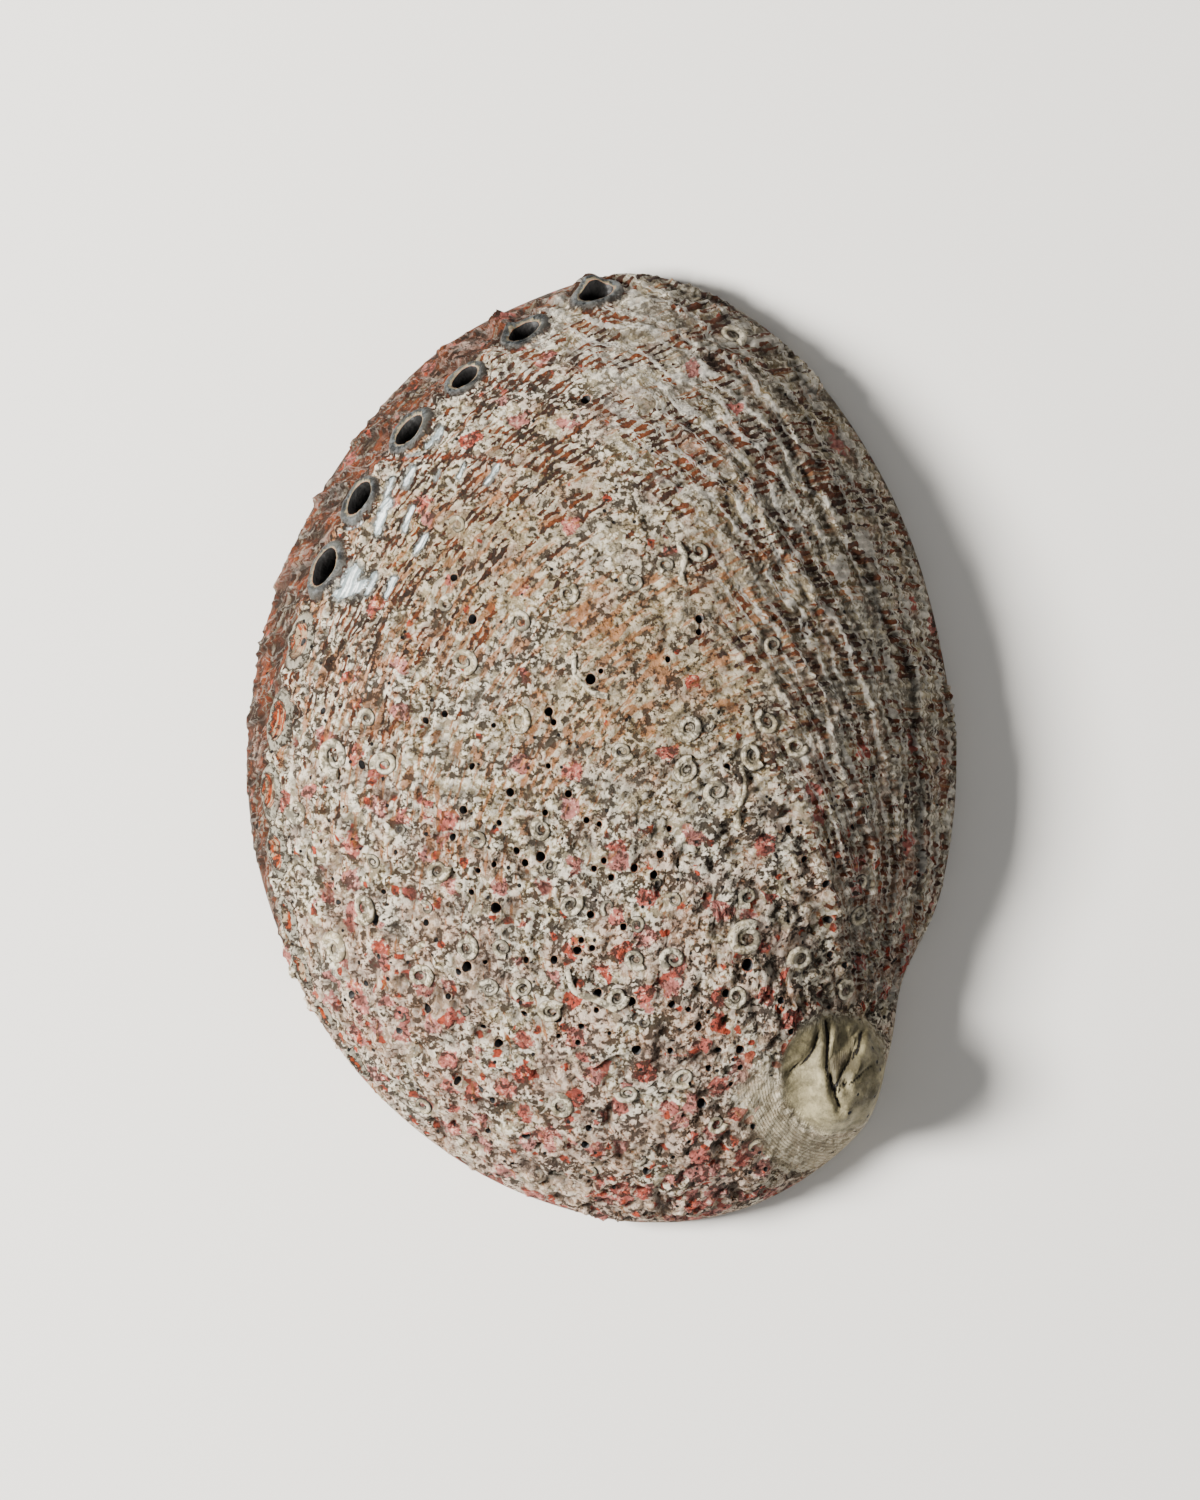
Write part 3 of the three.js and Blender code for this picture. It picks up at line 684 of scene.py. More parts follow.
def open_holes(skin):
    """Cuts the breathing holes right through and the borings a little way in."""
    pegs = [drill(*hole[:3], hole[4], hole[5], 3, 9, 32, 1.15) for hole in HOLES[:len(OPEN_HOLES)]]
    # the youngest healed hole still has a pinprick in it
    pegs.append(drill(*HOLES[len(OPEN_HOLES)][:3], 0.9, 0.7, 3, 1.6, 12))
    for x, y, width in ALL_BORINGS:
        up = normal_at(x, y)
        along = np.cross(up, (1.0, 0.0, 0.0))
        along /= np.linalg.norm(along)
        pegs.append(drill(back_at(x, y), up, along, width * 1.1, width, 2, 0.9 + 0.4 * width, 12, 0.7))
    only(*pegs)
    bpy.ops.object.join()
    cutter = bpy.context.object
    only(skin)
    cut = skin.modifiers.new("Holes", "BOOLEAN")
    cut.object, cut.operation, cut.solver, cut.material_mode = cutter, "DIFFERENCE", "MANIFOLD", "TRANSFER"
    bpy.ops.object.modifier_apply(modifier=cut.name)
    bpy.data.objects.remove(cutter)


def tube_runs():
    """Middle line and thickness of each worm tube: coils that widen to their mouths, then the bent ones."""
    for i, (x, y, width, turns, mouth) in enumerate(WORMS):
        centre, up = back_at(x, y), normal_at(x, y)
        side = np.cross(up, (0.0, 0.0, 1.0) if up[2] < 0.9 else (0.0, 1.0, 0.0))
        side /= np.linalg.norm(side)
        fore = np.cross(up, side)
        share = np.linspace(0, 1, max(9, int(turns * width * 5)))
        thick = width * (0.055 + 0.085 * share)
        turn = math.radians(mouth) + (-1 if i % 3 == 0 else 1) * (share - 1) * turns * 2 * math.pi
        reach = (width / 2 - thick) * (0.25 + 0.75 * share) * (1 + 0.10 * np.sin(2 * turn + i))
        lift = 0.15 * thick
        round_it = np.outer(reach * np.cos(turn), side) + np.outer(reach * np.sin(turn), fore)
        yield centre + round_it + np.outer(lift, up), thick
    for path, width in WORM_TRAILS:
        bends = spline(path, False, 7)
        at = back_at(*bends.T) + normal_at(*bends.T) * 0.15 * width
        yield at, width / 2 * np.linspace(0.7, 1, len(at))


def worm_tubes():
    """Worm tubes half sunk in the crust, wrinkled as they grew, each with an open mouth."""
    lines = bpy.data.curves.new("worm_tubes", "CURVE")
    lines.dimensions = "3D"
    lines.bevel_depth, lines.bevel_resolution, lines.resolution_u = MM, 2, 2
    lines.use_fill_caps = True
    for at, thick in tube_runs():
        line = lines.splines.new("NURBS")
        line.points.add(len(at) - 1)
        line.use_endpoint_u, line.order_u = True, 3
        wrinkled = thick * (1 + 0.09 * np.where(np.arange(len(at)) % 2, 1, -1))
        for point, place, radius in zip(line.points, at, wrinkled):
            point.co = (*(place * MM), 1)
            point.radius = radius
    piece = bpy.data.objects.new("worm_tubes", lines)
    bpy.context.scene.collection.objects.link(piece)
    only(piece)
    bpy.ops.object.convert(target="MESH")
    piece = bpy.context.object
    points = places(piece)
    ground = back_at(points[:, 0], points[:, 1])
    above = np.einsum("ij,ij->i", points - ground, normal_at(points[:, 0], points[:, 1]))
    depths = piece.data.attributes.new("sunk", "FLOAT", "POINT").data
    # tube corners at or under the crust are marked to be darkened: grime and painted shade at the tube's foot
    depths.foreach_set("value", smooth(0.42, 0.05, above).astype(np.float32))

    # only the ends have more than five corners: each is set in to a mouth, and darkened as the deepest,
    # painted shade inside the tube
    bpy.ops.object.mode_set(mode="EDIT")
    bpy.ops.mesh.select_all(action="DESELECT")
    bpy.ops.mesh.select_face_by_sides(number=5, type="GREATER")
    bpy.ops.mesh.inset(thickness=0.12 * MM, depth=0, use_individual=True)
    bpy.ops.mesh.inset(thickness=0.02 * MM, depth=-0.5 * MM, use_individual=True)
    bpy.ops.object.mode_set(mode="OBJECT")
    depths = piece.data.attributes["sunk"].data
    for face in piece.data.polygons:
        if face.select:
            for corner in face.vertices:
                depths[corner].value = MOUTH_PAINTED_SHADE
    return piece


def linear(hex_colour):
    """An sRGB hex colour as the linear one that shaders take."""
    parts = [int(hex_colour[i:i + 2], 16) / 255 for i in (1, 3, 5)]
    return tuple(c / 12.92 if c <= 0.04045 else ((c + 0.055) / 1.055) ** 2.4 for c in parts) + (1.0,)


def feed(tree, node, inputs):
    """Gives a node's sockets their values and links. A colour given in hex is made linear."""
    for key, value in inputs.items():
        if isinstance(value, bpy.types.NodeSocket):
            tree.links.new(value, node.inputs[key])
        else:
            node.inputs[key].default_value = linear(value) if isinstance(value, str) else value


def add(tree, kind, inputs=None, out=0, **settings):
    """One node with its settings, values and links. Gives the socket that comes out of it."""
    made = tree.nodes.new("ShaderNode" + kind)
    for name, value in settings.items():
        setattr(made, name, value)
    feed(tree, made, inputs or {})
    return made.outputs[out]


# Settings of a Mix node that mixes colours, with the socket they come out of
IN_COLOUR = {"out": 2, "data_type": "RGBA"}


def finish_of(name):
    """A new material: its node tree and the shader to set."""
    material = bpy.data.materials.new(name)
    material.use_nodes = True
    tree = material.node_tree
    shader = next(n for n in tree.nodes if n.type == "BSDF_PRINCIPLED")
    return material, tree, shader


def per_mm(size):
    """Texture scale that gives features of that size in millimetres."""
    return 1 / (size * MM)


def chalk(tree, place, dark, light):
    """Weathered lime: two tones in clouds, worn cream patches, white grains and dark specks of grime and
    painted shade between them.

    Real grains are too fine to show from above, so these are drawn coarser. Gives the colour, the dark specks
    from
    0 to 1, the grains that raise it and the noise that frays other edges."""
    grit = add(tree, "TexNoise", {"Vector": place, "Scale": per_mm(0.75), "Detail": 6, "Roughness": 0.8})
    cloud = add(tree, "TexNoise", {"Vector": place, "Scale": per_mm(5), "Detail": 5, "Roughness": 0.7})
    cloud = add(tree, "MapRange", {0: cloud, 1: 0.42, 2: 0.58})
    colour = add(tree, "Mix", {0: cloud, 6: dark, 7: light}, **IN_COLOUR)
    grains = add(tree, "TexNoise", {"Vector": place, "Scale": per_mm(0.6), "Detail": 3, "Roughness": 0.65})
    grains = add(tree, "Math", {0: grit, 1: 0.8, 2: grains}, operation="MULTIPLY_ADD")
    bent = add(tree, "TexNoise", {"Vector": place, "Scale": per_mm(0.8), "Detail": 2}, out="Color")
    bent = add(tree, "VectorMath", {0: bent, 1: (0.9 * MM,) * 3, 2: place}, operation="MULTIPLY_ADD")
    flake = add(tree, "TexVoronoi", {"Vector": bent, "Scale": per_mm(0.45)}, out="Color")
    flake = add(tree, "SeparateColor", {0: flake}, out="Red")
    grains = add(tree, "Math", {0: flake, 1: 0.24, 2: grains}, operation="MULTIPLY_ADD")
    wear = add(tree, "TexNoise", {"Vector": place, "Scale": per_mm(3), "Detail": 7, "Roughness": 0.72})
    wear = add(tree, "MapRange", {0: wear, 1: 0.52, 2: 0.55, 4: 0.7})
    colour = add(tree, "Mix", {0: wear, 6: colour, 7: "#d8c8a2"}, **IN_COLOUR)
    white = add(tree, "MapRange", {0: grains, 1: 1.03, 2: 1.07, 4: 0.94})
    colour = add(tree, "Mix", {0: white, 6: colour, 7: "#f8eed8"}, **IN_COLOUR)
    mottle = add(tree, "TexNoise", {"Vector": place, "Scale": per_mm(2.4), "Detail": 4, "Roughness": 0.65})
    mottle = add(tree, "MapRange", {0: mottle, 1: 0.38, 2: 0.62, 3: 0.07, 4: -0.08})
    # dark specks where grains and mottle are low, between the raised grains: partly grime, partly painted
    # shade
    dirt_and_shade = add(tree, "Math", {0: grains, 1: mottle}, operation="ADD")
    dirt_and_shade = add(tree, "MapRange", {0: dirt_and_shade, 1: 0.985, 2: 0.955})
    spared = add(tree, "Math", {0: wear, 1: -0.6, 2: 1.0}, operation="MULTIPLY_ADD")
    dirt_and_shade = add(tree, "Math", {0: dirt_and_shade, 1: spared}, operation="MULTIPLY")
    return colour, dirt_and_shade, grains, grit


def cells(tree, place, size):
    """Cells of that size in millimetres: how far from a cell's middle, and three chance numbers for each."""
    away = add(tree, "TexVoronoi", {"Vector": place, "Scale": per_mm(size)})
    return away, add(tree, "SeparateColor", {0: away.node.outputs["Color"]}).node.outputs


def weathered_shell():
    """Worn, crusted outer shell: chalky calcite in small grains, stained red and brown, dark in its gaps with
    grime and painted shade.
    """
    material, tree, shader = finish_of("Weathered calcite of the back")
    mask = {name: add(tree, "Attribute", out="Fac", attribute_name=name) for name in MASKS}
    place = add(tree, "TexCoord", out="Object")
    drift = add(tree, "TexNoise", {"Vector": place, "Scale": per_mm(1.6), "Detail": 3}, out="Color")
    warped = add(tree, "VectorMath", {0: drift, 1: (1.8 * MM,) * 3, 2: place}, operation="MULTIPLY_ADD")
    laid = add(tree, "CombineXYZ", {0: mask["cord"], 1: mask["line"]})
    tone = add(tree, "TexNoise", {"Vector": place, "Scale": per_mm(2.2), "Detail": 4})
    tone = add(tree, "MapRange", {0: tone, 1: 0.42, 2: 0.58})
    skin, specks, grains, grit = chalk(tree, place, "#937f5b", "#a69d8c")
    tan = add(tree, "Math", {0: mask["tan"], 1: 0.5}, operation="MULTIPLY")
    skin = add(tree, "Mix", {0: tan, 6: skin, 7: "#a58a5c"}, **IN_COLOUR)

    # the outer flank is drawn out in rust and brown streaks along the growth
    streak = add(tree, "VectorMath", {0: laid, 1: (2.2, 0.35, 1)}, operation="MULTIPLY")
    streak = add(tree, "VectorMath", {0: drift, 1: (1.1, 1.1, 0), 2: streak}, operation="MULTIPLY_ADD")
    streak = add(tree, "TexNoise", {"Vector": streak, "Scale": 1.0, "Detail": 4, "Roughness": 0.6})
    film = add(tree, "MapRange", {0: streak, 1: 0.57, 2: 0.49, 3: 0.74, 4: 0.96})
    film = add(tree, "Math", {0: film, 1: mask["flank"]}, operation="MULTIPLY")
    skin = add(tree, "Mix", {0: film, 6: skin, 7: "#422a10"}, **IN_COLOUR)
    rusted = add(tree, "MapRange", {0: streak, 1: 0.54, 2: 0.49})
    rusted = add(tree, "Math", {0: rusted, 1: mask["flank"]}, operation="MULTIPLY")
    rust = add(tree, "Mix", {0: tone, 6: "#2a1304", 7: "#7d3007"}, **IN_COLOUR)
    skin = add(tree, "Mix", {0: rusted, 6: skin, 7: rust}, **IN_COLOUR)

    # growth lines near the lip: broken white crests with darker fibres between them
    fibre = add(tree, "VectorMath", {0: laid, 1: (0.40, 5.0, 1)}, operation="MULTIPLY")
    fibre = add(tree, "TexNoise", {"Vector": fibre, "Scale": 1.0, "Detail": 4, "Roughness": 0.65})
    tooth = add(tree, "Math", {0: mask["line"]}, operation="FRACT")
    crest = add(tree, "MapRange", {0: tooth, 1: 0.30, 2: 0.85, 4: 0.20})
    crest = add(tree, "Math", {0: crest, 1: fibre}, operation="ADD")
    near_lip = add(tree, "Math", {0: mask["flank"], 1: -0.75, 2: mask["young"]}, operation="MULTIPLY_ADD")
    shade = add(tree, "MapRange", {0: crest, 1: 0.55, 2: 0.47, 4: 0.7})
    shade = add(tree, "Math", {0: shade, 1: near_lip}, operation="MULTIPLY")
    skin = add(tree, "Mix", {0: shade, 6: skin, 7: "#655846"}, **IN_COLOUR)
    crest = add(tree, "MapRange", {0: crest, 1: 0.655, 2: 0.705, 4: 0.75})
    crest = add(tree, "Math", {0: crest, 1: near_lip}, operation="MULTIPLY")

    # red and pink growths in ragged patches and dots
    wash = add(tree, "TexNoise", {"Vector": place, "Scale": per_mm(4), "Detail": 6, "Roughness": 0.7})
    wash = add(tree, "Math", {0: mask["coral"], 1: 0.5, 2: wash}, operation="MULTIPLY_ADD")
    wash = add(tree, "MapRange", {0: wash, 1: 0.54, 2: 0.67, 4: 0.45})
    skin = add(tree, "Mix", {0: wash, 6: skin, 7: "#c08c78"}, **IN_COLOUR)
    patch, chances = cells(tree, warped, 2.4)
    patch = add(tree, "Math", {0: grit, 1: 0.9, 2: patch}, operation="MULTIPLY_ADD")
    patch = add(tree, "MapRange", {0: patch, 1: 0.96, 2: 0.92})
    share = add(tree, "Math", {0: mask["coral"], 1: 1.35}, operation="MULTIPLY")
    grown = add(tree, "Math", {0: chances["Red"], 1: share}, operation="LESS_THAN")
    patch = add(tree, "Math", {0: patch, 1: grown}, operation="MULTIPLY")
    chalky = add(tree, "MapRange", {0: grit, 1: 0.62, 2: 0.54, 3: 0.35, 4: 0.95})
    patch = add(tree, "Math", {0: patch, 1: chalky}, operation="MULTIPLY")
    red = add(tree, "Mix", {0: chances["Green"], 6: "#b03a26", 7: "#c07a72"}, **IN_COLOUR)
    skin = add(tree, "Mix", {0: patch, 6: skin, 7: red}, **IN_COLOUR)
    dot, chances = cells(tree, warped, 1.4)
    share = add(tree, "Math", {0: mask["coral"], 1: 0.85}, operation="MULTIPLY")
    grown = add(tree, "Math", {0: chances["Red"], 1: share}, operation="LESS_THAN")
    dot = add(tree, "MapRange", {0: dot, 1: 0.38, 2: 0.30})
    dot = add(tree, "Math", {0: dot, 1: grown}, operation="MULTIPLY")
    skin = add(tree, "Mix", {0: dot, 6: skin, 7: "#b2462c"}, **IN_COLOUR)

    # ochre streaks along the cords
    fleck = add(tree, "VectorMath", {0: laid, 1: (1.1, 0.5, 1)}, operation="MULTIPLY")
    fleck = add(tree, "TexNoise", {"Vector": fleck, "Scale": 1.0, "Detail": 4, "Roughness": 0.6})
    fleck = add(tree, "Math", {0: mask["ochre"], 1: 0.40, 2: fleck}, operation="MULTIPLY_ADD")
    fleck = add(tree, "MapRange", {0: fleck, 1: 0.655, 2: 0.70, 4: 0.8})
    rusty = add(tree, "Mix", {0: grit, 6: "#8a461a", 7: "#bd8048"}, **IN_COLOUR)
    skin = add(tree, "Mix", {0: fleck, 6: skin, 7: rusty}, **IN_COLOUR)

    # ragged brown dashes, one to a cord, in broken bands along the lip
    ragged = add(tree, "VectorMath", {0: drift, 1: (1.0, 1.8, 0), 2: laid}, operation="MULTIPLY_ADD")
    ragged = add(tree, "VectorMath", {0: ragged, 1: (1, 0.6, 1)}, operation="MULTIPLY")
    square = add(tree, "VectorMath", {0: ragged}, operation="FLOOR")
    dash_chance = add(tree, "TexWhiteNoise", {"Vector": square})
    band = add(tree, "VectorMath", {0: laid, 1: (0.22, 0.55, 1)}, operation="MULTIPLY")
    band = add(tree, "TexNoise", {"Vector": band, "Scale": 1.0, "Detail": 3, "Roughness": 0.6})
    band = add(tree, "Math", {0: mask["flank"], 1: 0.06, 2: band}, operation="MULTIPLY_ADD")
    band = add(tree, "MapRange", {0: band, 1: 0.47, 2: 0.54, 3: 0.03, 4: 1.0})
    band = add(tree, "Math", {0: band, 1: mask["brown"]}, operation="MULTIPLY")
    dash = add(tree, "Math", {0: dash_chance, 1: band}, operation="LESS_THAN")
    waves = add(tree, "VectorMath", {0: ragged, 1: (2 * math.pi,) * 3}, operation="MULTIPLY")
    waves = add(tree, "VectorMath", {0: waves}, operation="COSINE")
    heap = add(tree, "VectorMath", {0: waves, 1: (1, 0.55, 0)}, out="Value", operation="DOT_PRODUCT")
    heap = add(tree, "Math", {0: grains, 1: 3.2, 2: heap}, operation="MULTIPLY_ADD")
    heap = add(tree, "MapRange", {0: heap, 1: 3.42, 2: 3.2})
    dash = add(tree, "Math", {0: dash, 1: heap}, operation="MULTIPLY")
    bark = add(tree, "Mix", {0: tone, 6: "#331807", 7: "#743a18"}, **IN_COLOUR)
    skin = add(tree, "Mix", {0: dash, 6: skin, 7: bark}, **IN_COLOUR)
    skin = add(tree, "Mix", {0: crest, 6: skin, 7: "#f0eadc"}, **IN_COLOUR)

    # the worn knob: cream and olive, finely lined where it runs into the shell
    smear = add(tree, "TexNoise", {"Vector": warped, "Scale": per_mm(3), "Detail": 6, "Roughness": 0.65})
    smear = add(tree, "MapRange", {0: smear, 1: 0.38, 2: 0.60})
    worn = add(tree, "Mix", {0: smear, 6: "#4d4630", 7: "#938969"}, **IN_COLOUR)
    hair = add(tree, "Math", {0: mask["around_knob"], 1: 9.0}, operation="MULTIPLY")
    hair = add(tree, "Math", {0: drift, 1: 7.0, 2: hair}, operation="MULTIPLY_ADD")
    hair = add(tree, "Math", {0: hair}, operation="SINE")
    lined = add(tree, "MapRange", {0: hair, 1: 0.0, 2: 0.9, 4: 0.45})
    lined = add(tree, "Math", {0: lined, 1: mask["striae"]}, operation="MULTIPLY")
    merging = add(tree, "Math", {0: mask["striae"], 1: 0.8}, operation="MULTIPLY")
    for share, colour in ((mask["knob"], worn), (merging, "#b3a68a"), (lined, "#776a56")):
        skin = add(tree, "Mix", {0: share, 6: skin, 7: colour}, **IN_COLOUR)

    # mother-of-pearl where the crust has chipped, its bright streaks partly pale pearl and partly painted
    # sheen, and the rust line of the old lip
    bare = add(tree, "Math", {0: grit, 1: 4.0, 2: mask["pearl"]}, operation="MULTIPLY_ADD")
    ground = add(tree, "MapRange", {0: bare, 1: 3.75, 2: 3.45, 4: 0.8})
    skin = add(tree, "Mix", {0: ground, 6: skin, 7: "#777a74"}, **IN_COLOUR)
    pale_and_painted_sheen = add(tree, "MapRange", {0: bare, 1: 2.8, 2: 2.2})
    silver = add(tree, "MapRange", {0: streak, 1: 0.44, 2: 0.56})
    pale_and_painted_sheen = add(tree, "Math", {0: pale_and_painted_sheen, 1: silver}, operation="MULTIPLY")
    bare = add(tree, "MapRange", {0: bare, 1: 2.95, 2: 2.8})
    # near-white where the sheen is painted: partly the pearl's own pale colour, partly painted sheen
    pearl = add(tree, "Mix", {0: pale_and_painted_sheen, 6: "#7b8687", 7: "#e4e8e7"}, **IN_COLOUR)
    skin = add(tree, "Mix", {0: bare, 6: skin, 7: pearl}, **IN_COLOUR)
    lip_line = add(tree, "Math", {0: grit, 1: mask["old_lip"]}, operation="ADD")
    lip_line = add(tree, "MapRange", {0: lip_line, 1: 0.76, 2: 0.68, 4: 0.95})
    skin = add(tree, "Mix", {0: lip_line, 6: skin, 7: "#8a3a18"}, **IN_COLOUR)

    # collars of the holes: dull grey, paler at the mouth, ragged outside; healed ones are pale round rust
    near = add(tree, "Math", {0: grit, 1: mask["ring"]}, operation="ADD")
    collar = add(tree, "MapRange", {0: near, 1: 2.20, 2: 2.12})
    dull = add(tree, "Mix", {0: tone, 6: "#111415", 7: "#3f403c"}, **IN_COLOUR)
    flecks, frayed, mouth = (grit, 0.52, 0.56, 0.7), (near, 1.9, 2.2, 0.8), (near, 1.62, 1.56, 0.85)
    for (found, low, high, most), colour in ((flecks, "#585d5e"), (frayed, "#3b3025"), (mouth, "#80745a")):
        share = add(tree, "MapRange", {0: found, 1: low, 2: high, 4: most})
        dull = add(tree, "Mix", {0: share, 6: dull, 7: colour}, **IN_COLOUR)
    skin = add(tree, "Mix", {0: collar, 6: skin, 7: dull}, **IN_COLOUR)
    brim = add(tree, "Math", {0: near, 1: 2.20, 2: 0.06}, operation="COMPARE")
    brim = add(tree, "Math", {0: brim, 1: tone}, operation="MULTIPLY")
    skin = add(tree, "Mix", {0: brim, 6: skin, 7: "#4d2c1c"}, **IN_COLOUR)
    old = add(tree, "Math", {0: grit, 1: 0.9, 2: mask["scar"]}, operation="MULTIPLY_ADD")
    healed = add(tree, "MapRange", {0: old, 1: 2.10, 2: 2.00, 4: 0.88})
    skin = add(tree, "Mix", {0: healed, 6: skin, 7: "#9a9584"}, **IN_COLOUR)
    middle = add(tree, "MapRange", {0: old, 1: 1.48, 2: 1.42})
    filled = add(tree, "MapRange", {0: streak, 1: 0.48, 2: 0.53})
    filled = add(tree, "Mix", {0: filled, 6: "#983e18", 7: "#b39c7c"}, **IN_COLOUR)
    skin = add(tree, "Mix", {0: middle, 6: skin, 7: filled}, **IN_COLOUR)
    outline = add(tree, "Math", {0: old, 1: 1.50, 2: 0.06}, operation="COMPARE")
    outer_line = add(tree, "Math", {0: old, 1: 2.10, 2: 0.06}, operation="COMPARE")
    outline = add(tree, "Math", {0: outline, 1: outer_line}, operation="MAXIMUM")
    skin = add(tree, "Mix", {0: outline, 6: skin, 7: "#41352a"}, **IN_COLOUR)

    # grime and painted shade in the gaps, specks, and cracks and pinholes painted near-black as shade
    dirt_and_shade = add(tree, "Math", {0: mask["gap_shade_and_grime"], 1: 0.9}, operation="MULTIPLY")
    specks_left = add(tree, "Math", {0: near_lip, 1: -0.55, 2: 1.0}, operation="MULTIPLY_ADD")
    specks = add(tree, "Math", {0: specks, 1: specks_left}, operation="MULTIPLY")
    dirt_and_shade = add(tree, "Math", {0: dirt_and_shade, 1: specks}, operation="MAXIMUM")
    clean = mask["knob"]
    for kept in (bare, collar, merging):
        clean = add(tree, "Math", {0: clean, 1: kept}, operation="MAXIMUM")
    clean = add(tree, "MapRange", {0: clean, 3: 0.9, 4: 0.18})
    dirt_and_shade = add(tree, "Math", {0: dirt_and_shade, 1: clean}, operation="MULTIPLY")
    # the knob's hollow is darkened with grime and painted shade
    eaten = add(tree, "Math", {0: mask["gap_shade_and_grime"], 1: mask["knob"]}, operation="MULTIPLY")
    dirt_and_shade = add(tree, "Math", {0: dirt_and_shade, 1: eaten}, operation="MAXIMUM")
    skin = add(tree, "Mix", {0: dirt_and_shade, 6: skin, 7: "#281f16"}, **IN_COLOUR)
    # cracks and pinholes are painted near-black: painted shade in them, with some grime in the cracks
    split = add(tree, "Math", {0: grit, 1: 0.5, 2: mask["crack"]}, operation="MULTIPLY_ADD")
    split = add(tree, "MapRange", {0: split, 1: 0.42, 2: 0.34})
    hole, chances = cells(tree, place, 1.5)
    few = add(tree, "Math", {0: mask["knob"], 1: 0.5}, operation="MULTIPLY")
    few = add(tree, "Math", {0: mask["crust"], 1: few}, operation="ADD")
    few = add(tree, "Math", {0: few, 1: 0.60}, operation="MULTIPLY")
    bored = add(tree, "Math", {0: chances["Blue"], 1: few}, operation="LESS_THAN")
    hole = add(tree, "MapRange", {0: hole, 1: 0.16, 2: 0.12})
    hole = add(tree, "Math", {0: hole, 1: bored}, operation="MULTIPLY")
    sunk = add(tree, "Math", {0: hole, 1: split}, operation="MAXIMUM")
    skin = add(tree, "Mix", {0: sunk, 6: skin, 7: "#17120e"}, **IN_COLOUR)

    gloss = add(tree, "Math", {0: bare, 1: collar}, operation="MAXIMUM")
    rough = add(tree, "MapRange", {0: gloss, 3: 0.78, 4: 0.32})
    rough = add(tree, "Math", {0: mask["knob"], 1: -0.25, 2: rough}, operation="MULTIPLY_ADD")

    # fine relief, in millimetres of height
    calm = add(tree, "MapRange", {0: clean, 1: 0.18, 2: 0.9, 3: 0.08, 4: 0.48})
    relief = add(tree, "Math", {0: grit, 1: 0.8, 2: grains}, operation="MULTIPLY_ADD")
    relief = add(tree, "Math", {0: relief, 1: calm}, operation="MULTIPLY")
    for part, rise in ((sunk, -0.35), (dirt_and_shade, -0.12), (patch, 0.10), (crest, 0.14), (lined, -0.10)):
        relief = add(tree, "Math", {0: part, 1: rise, 2: relief}, operation="MULTIPLY_ADD")
    bump = add(tree, "Bump", {"Height": relief, "Distance": MM, "Strength": 1.0})
    feed(tree, shader, {"Base Color": skin, "Roughness": rough, "Normal": bump, "Specular IOR Level": 0.25})
    return material


def mother_of_pearl():
    """Inner layer of aragonite plates, smooth as grown: silvery, with soft pink, green and blue clouds."""
    material, tree, shader = finish_of("Mother-of-pearl of the hollow")
    place = add(tree, "TexCoord", out="Object")
    flow = add(tree, "TexNoise", {"Vector": place, "Scale": per_mm(16), "Detail": 2}, out="Color")
    flow = add(tree, "VectorMath", {0: flow, 1: (22 * MM,) * 3, 2: place}, operation="MULTIPLY_ADD")
    tint = add(tree, "TexNoise", {"Vector": flow, "Scale": per_mm(9), "Detail": 4, "Roughness": 0.6})
    colour = add(tree, "ValToRGB", {"Fac": tint})
    ramp = colour.node.color_ramp.elements
    stops = [(0.30, "#6fa89f"), (0.42, "#c3cdc2"), (0.50, "#cf9fae"), (0.58, "#a2bccd"), (0.70, "#84ab7c")]
    while len(ramp) < len(stops):
        ramp.new(0.5)
    for stop, (at, shade) in zip(ramp, stops):
        stop.position, stop.color = at, linear(shade)
    ripple = add(tree, "TexNoise", {"Vector": flow, "Scale": per_mm(5), "Detail": 3})
    rough = add(tree, "MapRange", {0: ripple, 3: 0.16, 4: 0.34})
    bump = add(tree, "Bump", {"Height": ripple, "Distance": 0.4 * MM, "Strength": 0.5})
    feed(tree, shader, {"Base Color": colour, "Roughness": rough, "Normal": bump})
    feed(tree, shader, {"IOR": 1.6, "Metallic": 0.4, "Coat Weight": 0.3})
    return material


def shaded_hole_wall():
    """Lime eaten or grown through, in the wall of a hole: rough, and painted nearly black as the shade of the
    deep hole, with some old grime.
    """
    material, tree, shader = finish_of("Shaded lining of a hole")
    place = add(tree, "TexCoord", out="Object")
    dirt_and_shade = add(tree, "TexNoise", {"Vector": place, "Scale": per_mm(0.9), "Detail": 4, "Roughness": 0.6})
    # both tones are near-black painted shade for the inside of a hole; the noise only varies them a little
    dark = add(tree, "Mix", {0: dirt_and_shade, 6: "#040303", 7: "#100d0a"}, **IN_COLOUR)
    bump = add(tree, "Bump", {"Height": dirt_and_shade, "Distance": 0.2 * MM})
    feed(tree, shader, {"Base Color": dark, "Roughness": 0.6, "Normal": bump})
    return material


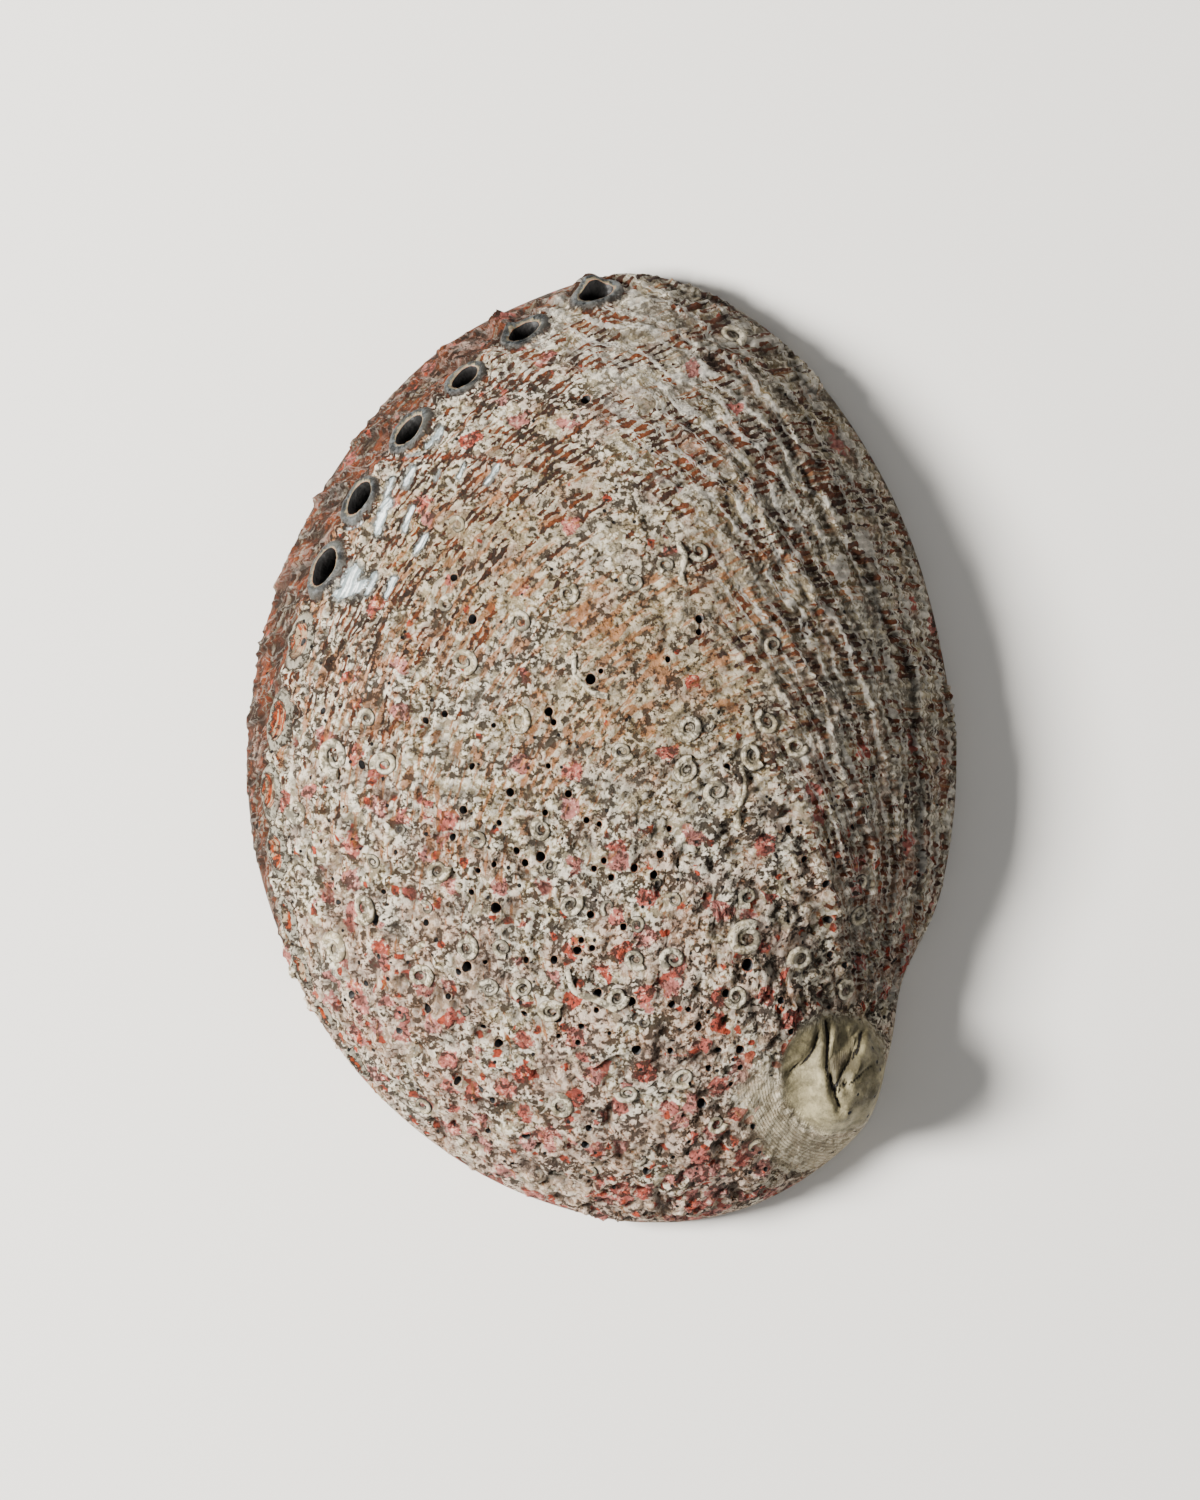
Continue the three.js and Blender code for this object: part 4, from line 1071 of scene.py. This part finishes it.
def worm_chalk():
    """Lime tube as its worm laid it, weathered like the crust: matt cream, darker where it sinks in with
    grime and painted shade, and painted shade in its mouth.
    """
    material, tree, shader = finish_of("Lime of worm tubes")
    place = add(tree, "TexCoord", out="Object")
    lime, specks, grains, grit = chalk(tree, place, "#a19478", "#b2ad9c")
    lime = add(tree, "Mix", {0: 0.4, 6: lime, 7: "#9c8b66"}, **IN_COLOUR)
    # sunk marks the tube's foot, darkened with grime and painted shade, and its mouth, painted dark as shade
    sunk = add(tree, "Attribute", out="Fac", attribute_name="sunk")
    sunk = add(tree, "Math", {0: sunk, 1: grit}, operation="ADD")
    sunk = add(tree, "MapRange", {0: sunk, 1: 0.6, 2: 1.3})
    dirt_and_shade = add(tree, "Math", {0: specks, 1: 0.6}, operation="MULTIPLY")
    dirt_and_shade = add(tree, "Math", {0: dirt_and_shade, 1: sunk}, operation="MAXIMUM")
    lime = add(tree, "Mix", {0: dirt_and_shade, 6: lime, 7: "#2a231b"}, **IN_COLOUR)
    relief = add(tree, "Math", {0: grit, 1: 0.8, 2: grains}, operation="MULTIPLY_ADD")
    bump = add(tree, "Bump", {"Height": relief, "Distance": 0.35 * MM})
    feed(tree, shader, {"Base Color": lime, "Roughness": 0.8, "Normal": bump})
    return material


def plain_floor():
    """Matt white card, rolled flat."""
    material, tree, shader = finish_of("Matt card of the floor")
    feed(tree, shader, {"Base Color": "#dedbd5", "Roughness": 0.9})
    return material


def lamp(name, place, size, power, colour):
    """A soft square lamp at a place in millimetres, turned to the shell."""
    light = bpy.data.lights.new(name, "AREA")
    light.size, light.energy, light.color = size * MM, power, colour
    made = bpy.data.objects.new(name, light)
    made.location = Vector(place) * MM
    made.rotation_euler = (-made.location).to_track_quat("-Z", "Y").to_euler()
    bpy.context.scene.collection.objects.link(made)


# Finishes come first, because the cutters carry theirs into the shell
outside, inside, lining = weathered_shell(), mother_of_pearl(), shaded_hole_wall()

shell = back_skin()
for finish in (outside, inside, lining):
    shell.data.materials.append(finish)
roll_rim(shell)
line_inside(shell)
only(shell)
bpy.ops.object.mode_set(mode="EDIT")
bpy.ops.mesh.select_all(action="SELECT")
bpy.ops.mesh.normals_make_consistent(inside=False)
bpy.ops.object.mode_set(mode="OBJECT")
open_holes(shell)
only(shell)
bpy.ops.object.shade_smooth()
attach(shell, "root")
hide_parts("shell")

worms = worm_tubes()
worms.data.materials.clear()
worms.data.materials.append(worm_chalk())
only(worms)
bpy.ops.object.shade_smooth()
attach(worms, "root")

# Floor, and light from the left
bpy.ops.object.select_all(action="DESELECT")
bpy.ops.mesh.primitive_plane_add(size=3)
floor = bpy.context.object
floor.name = "floor"
floor.data.materials.append(plain_floor())

lamp("window", (-640, 30, 570), 260, 34.5, (1.0, 0.98, 0.95))
lamp("far_wall", (500, -400, 700), 700, 1.4, (1.0, 0.97, 0.93))
world = bpy.data.worlds.new("Studio")
world.use_nodes = True
sky = world.node_tree.nodes["Background"]
feed(world.node_tree, sky, {"Color": (0.95, 0.97, 1.0, 1), "Strength": 0.28})
bpy.context.scene.world = world

# The camera looks straight down, and its picture is PICTURE_HEIGHT high at the level of the rim
CAMERA_HEIGHT, PICTURE_HEIGHT, RIM_LEVEL = 1000.0, 150.0, 5.0
camera = bpy.data.cameras.new("above")
camera.lens = camera.sensor_width * (CAMERA_HEIGHT - RIM_LEVEL) / PICTURE_HEIGHT
above = bpy.data.objects.new("above", camera)
above.location = Vector((-0.2, -0.15, CAMERA_HEIGHT)) * MM
bpy.context.scene.collection.objects.link(above)
bpy.context.scene.camera = above
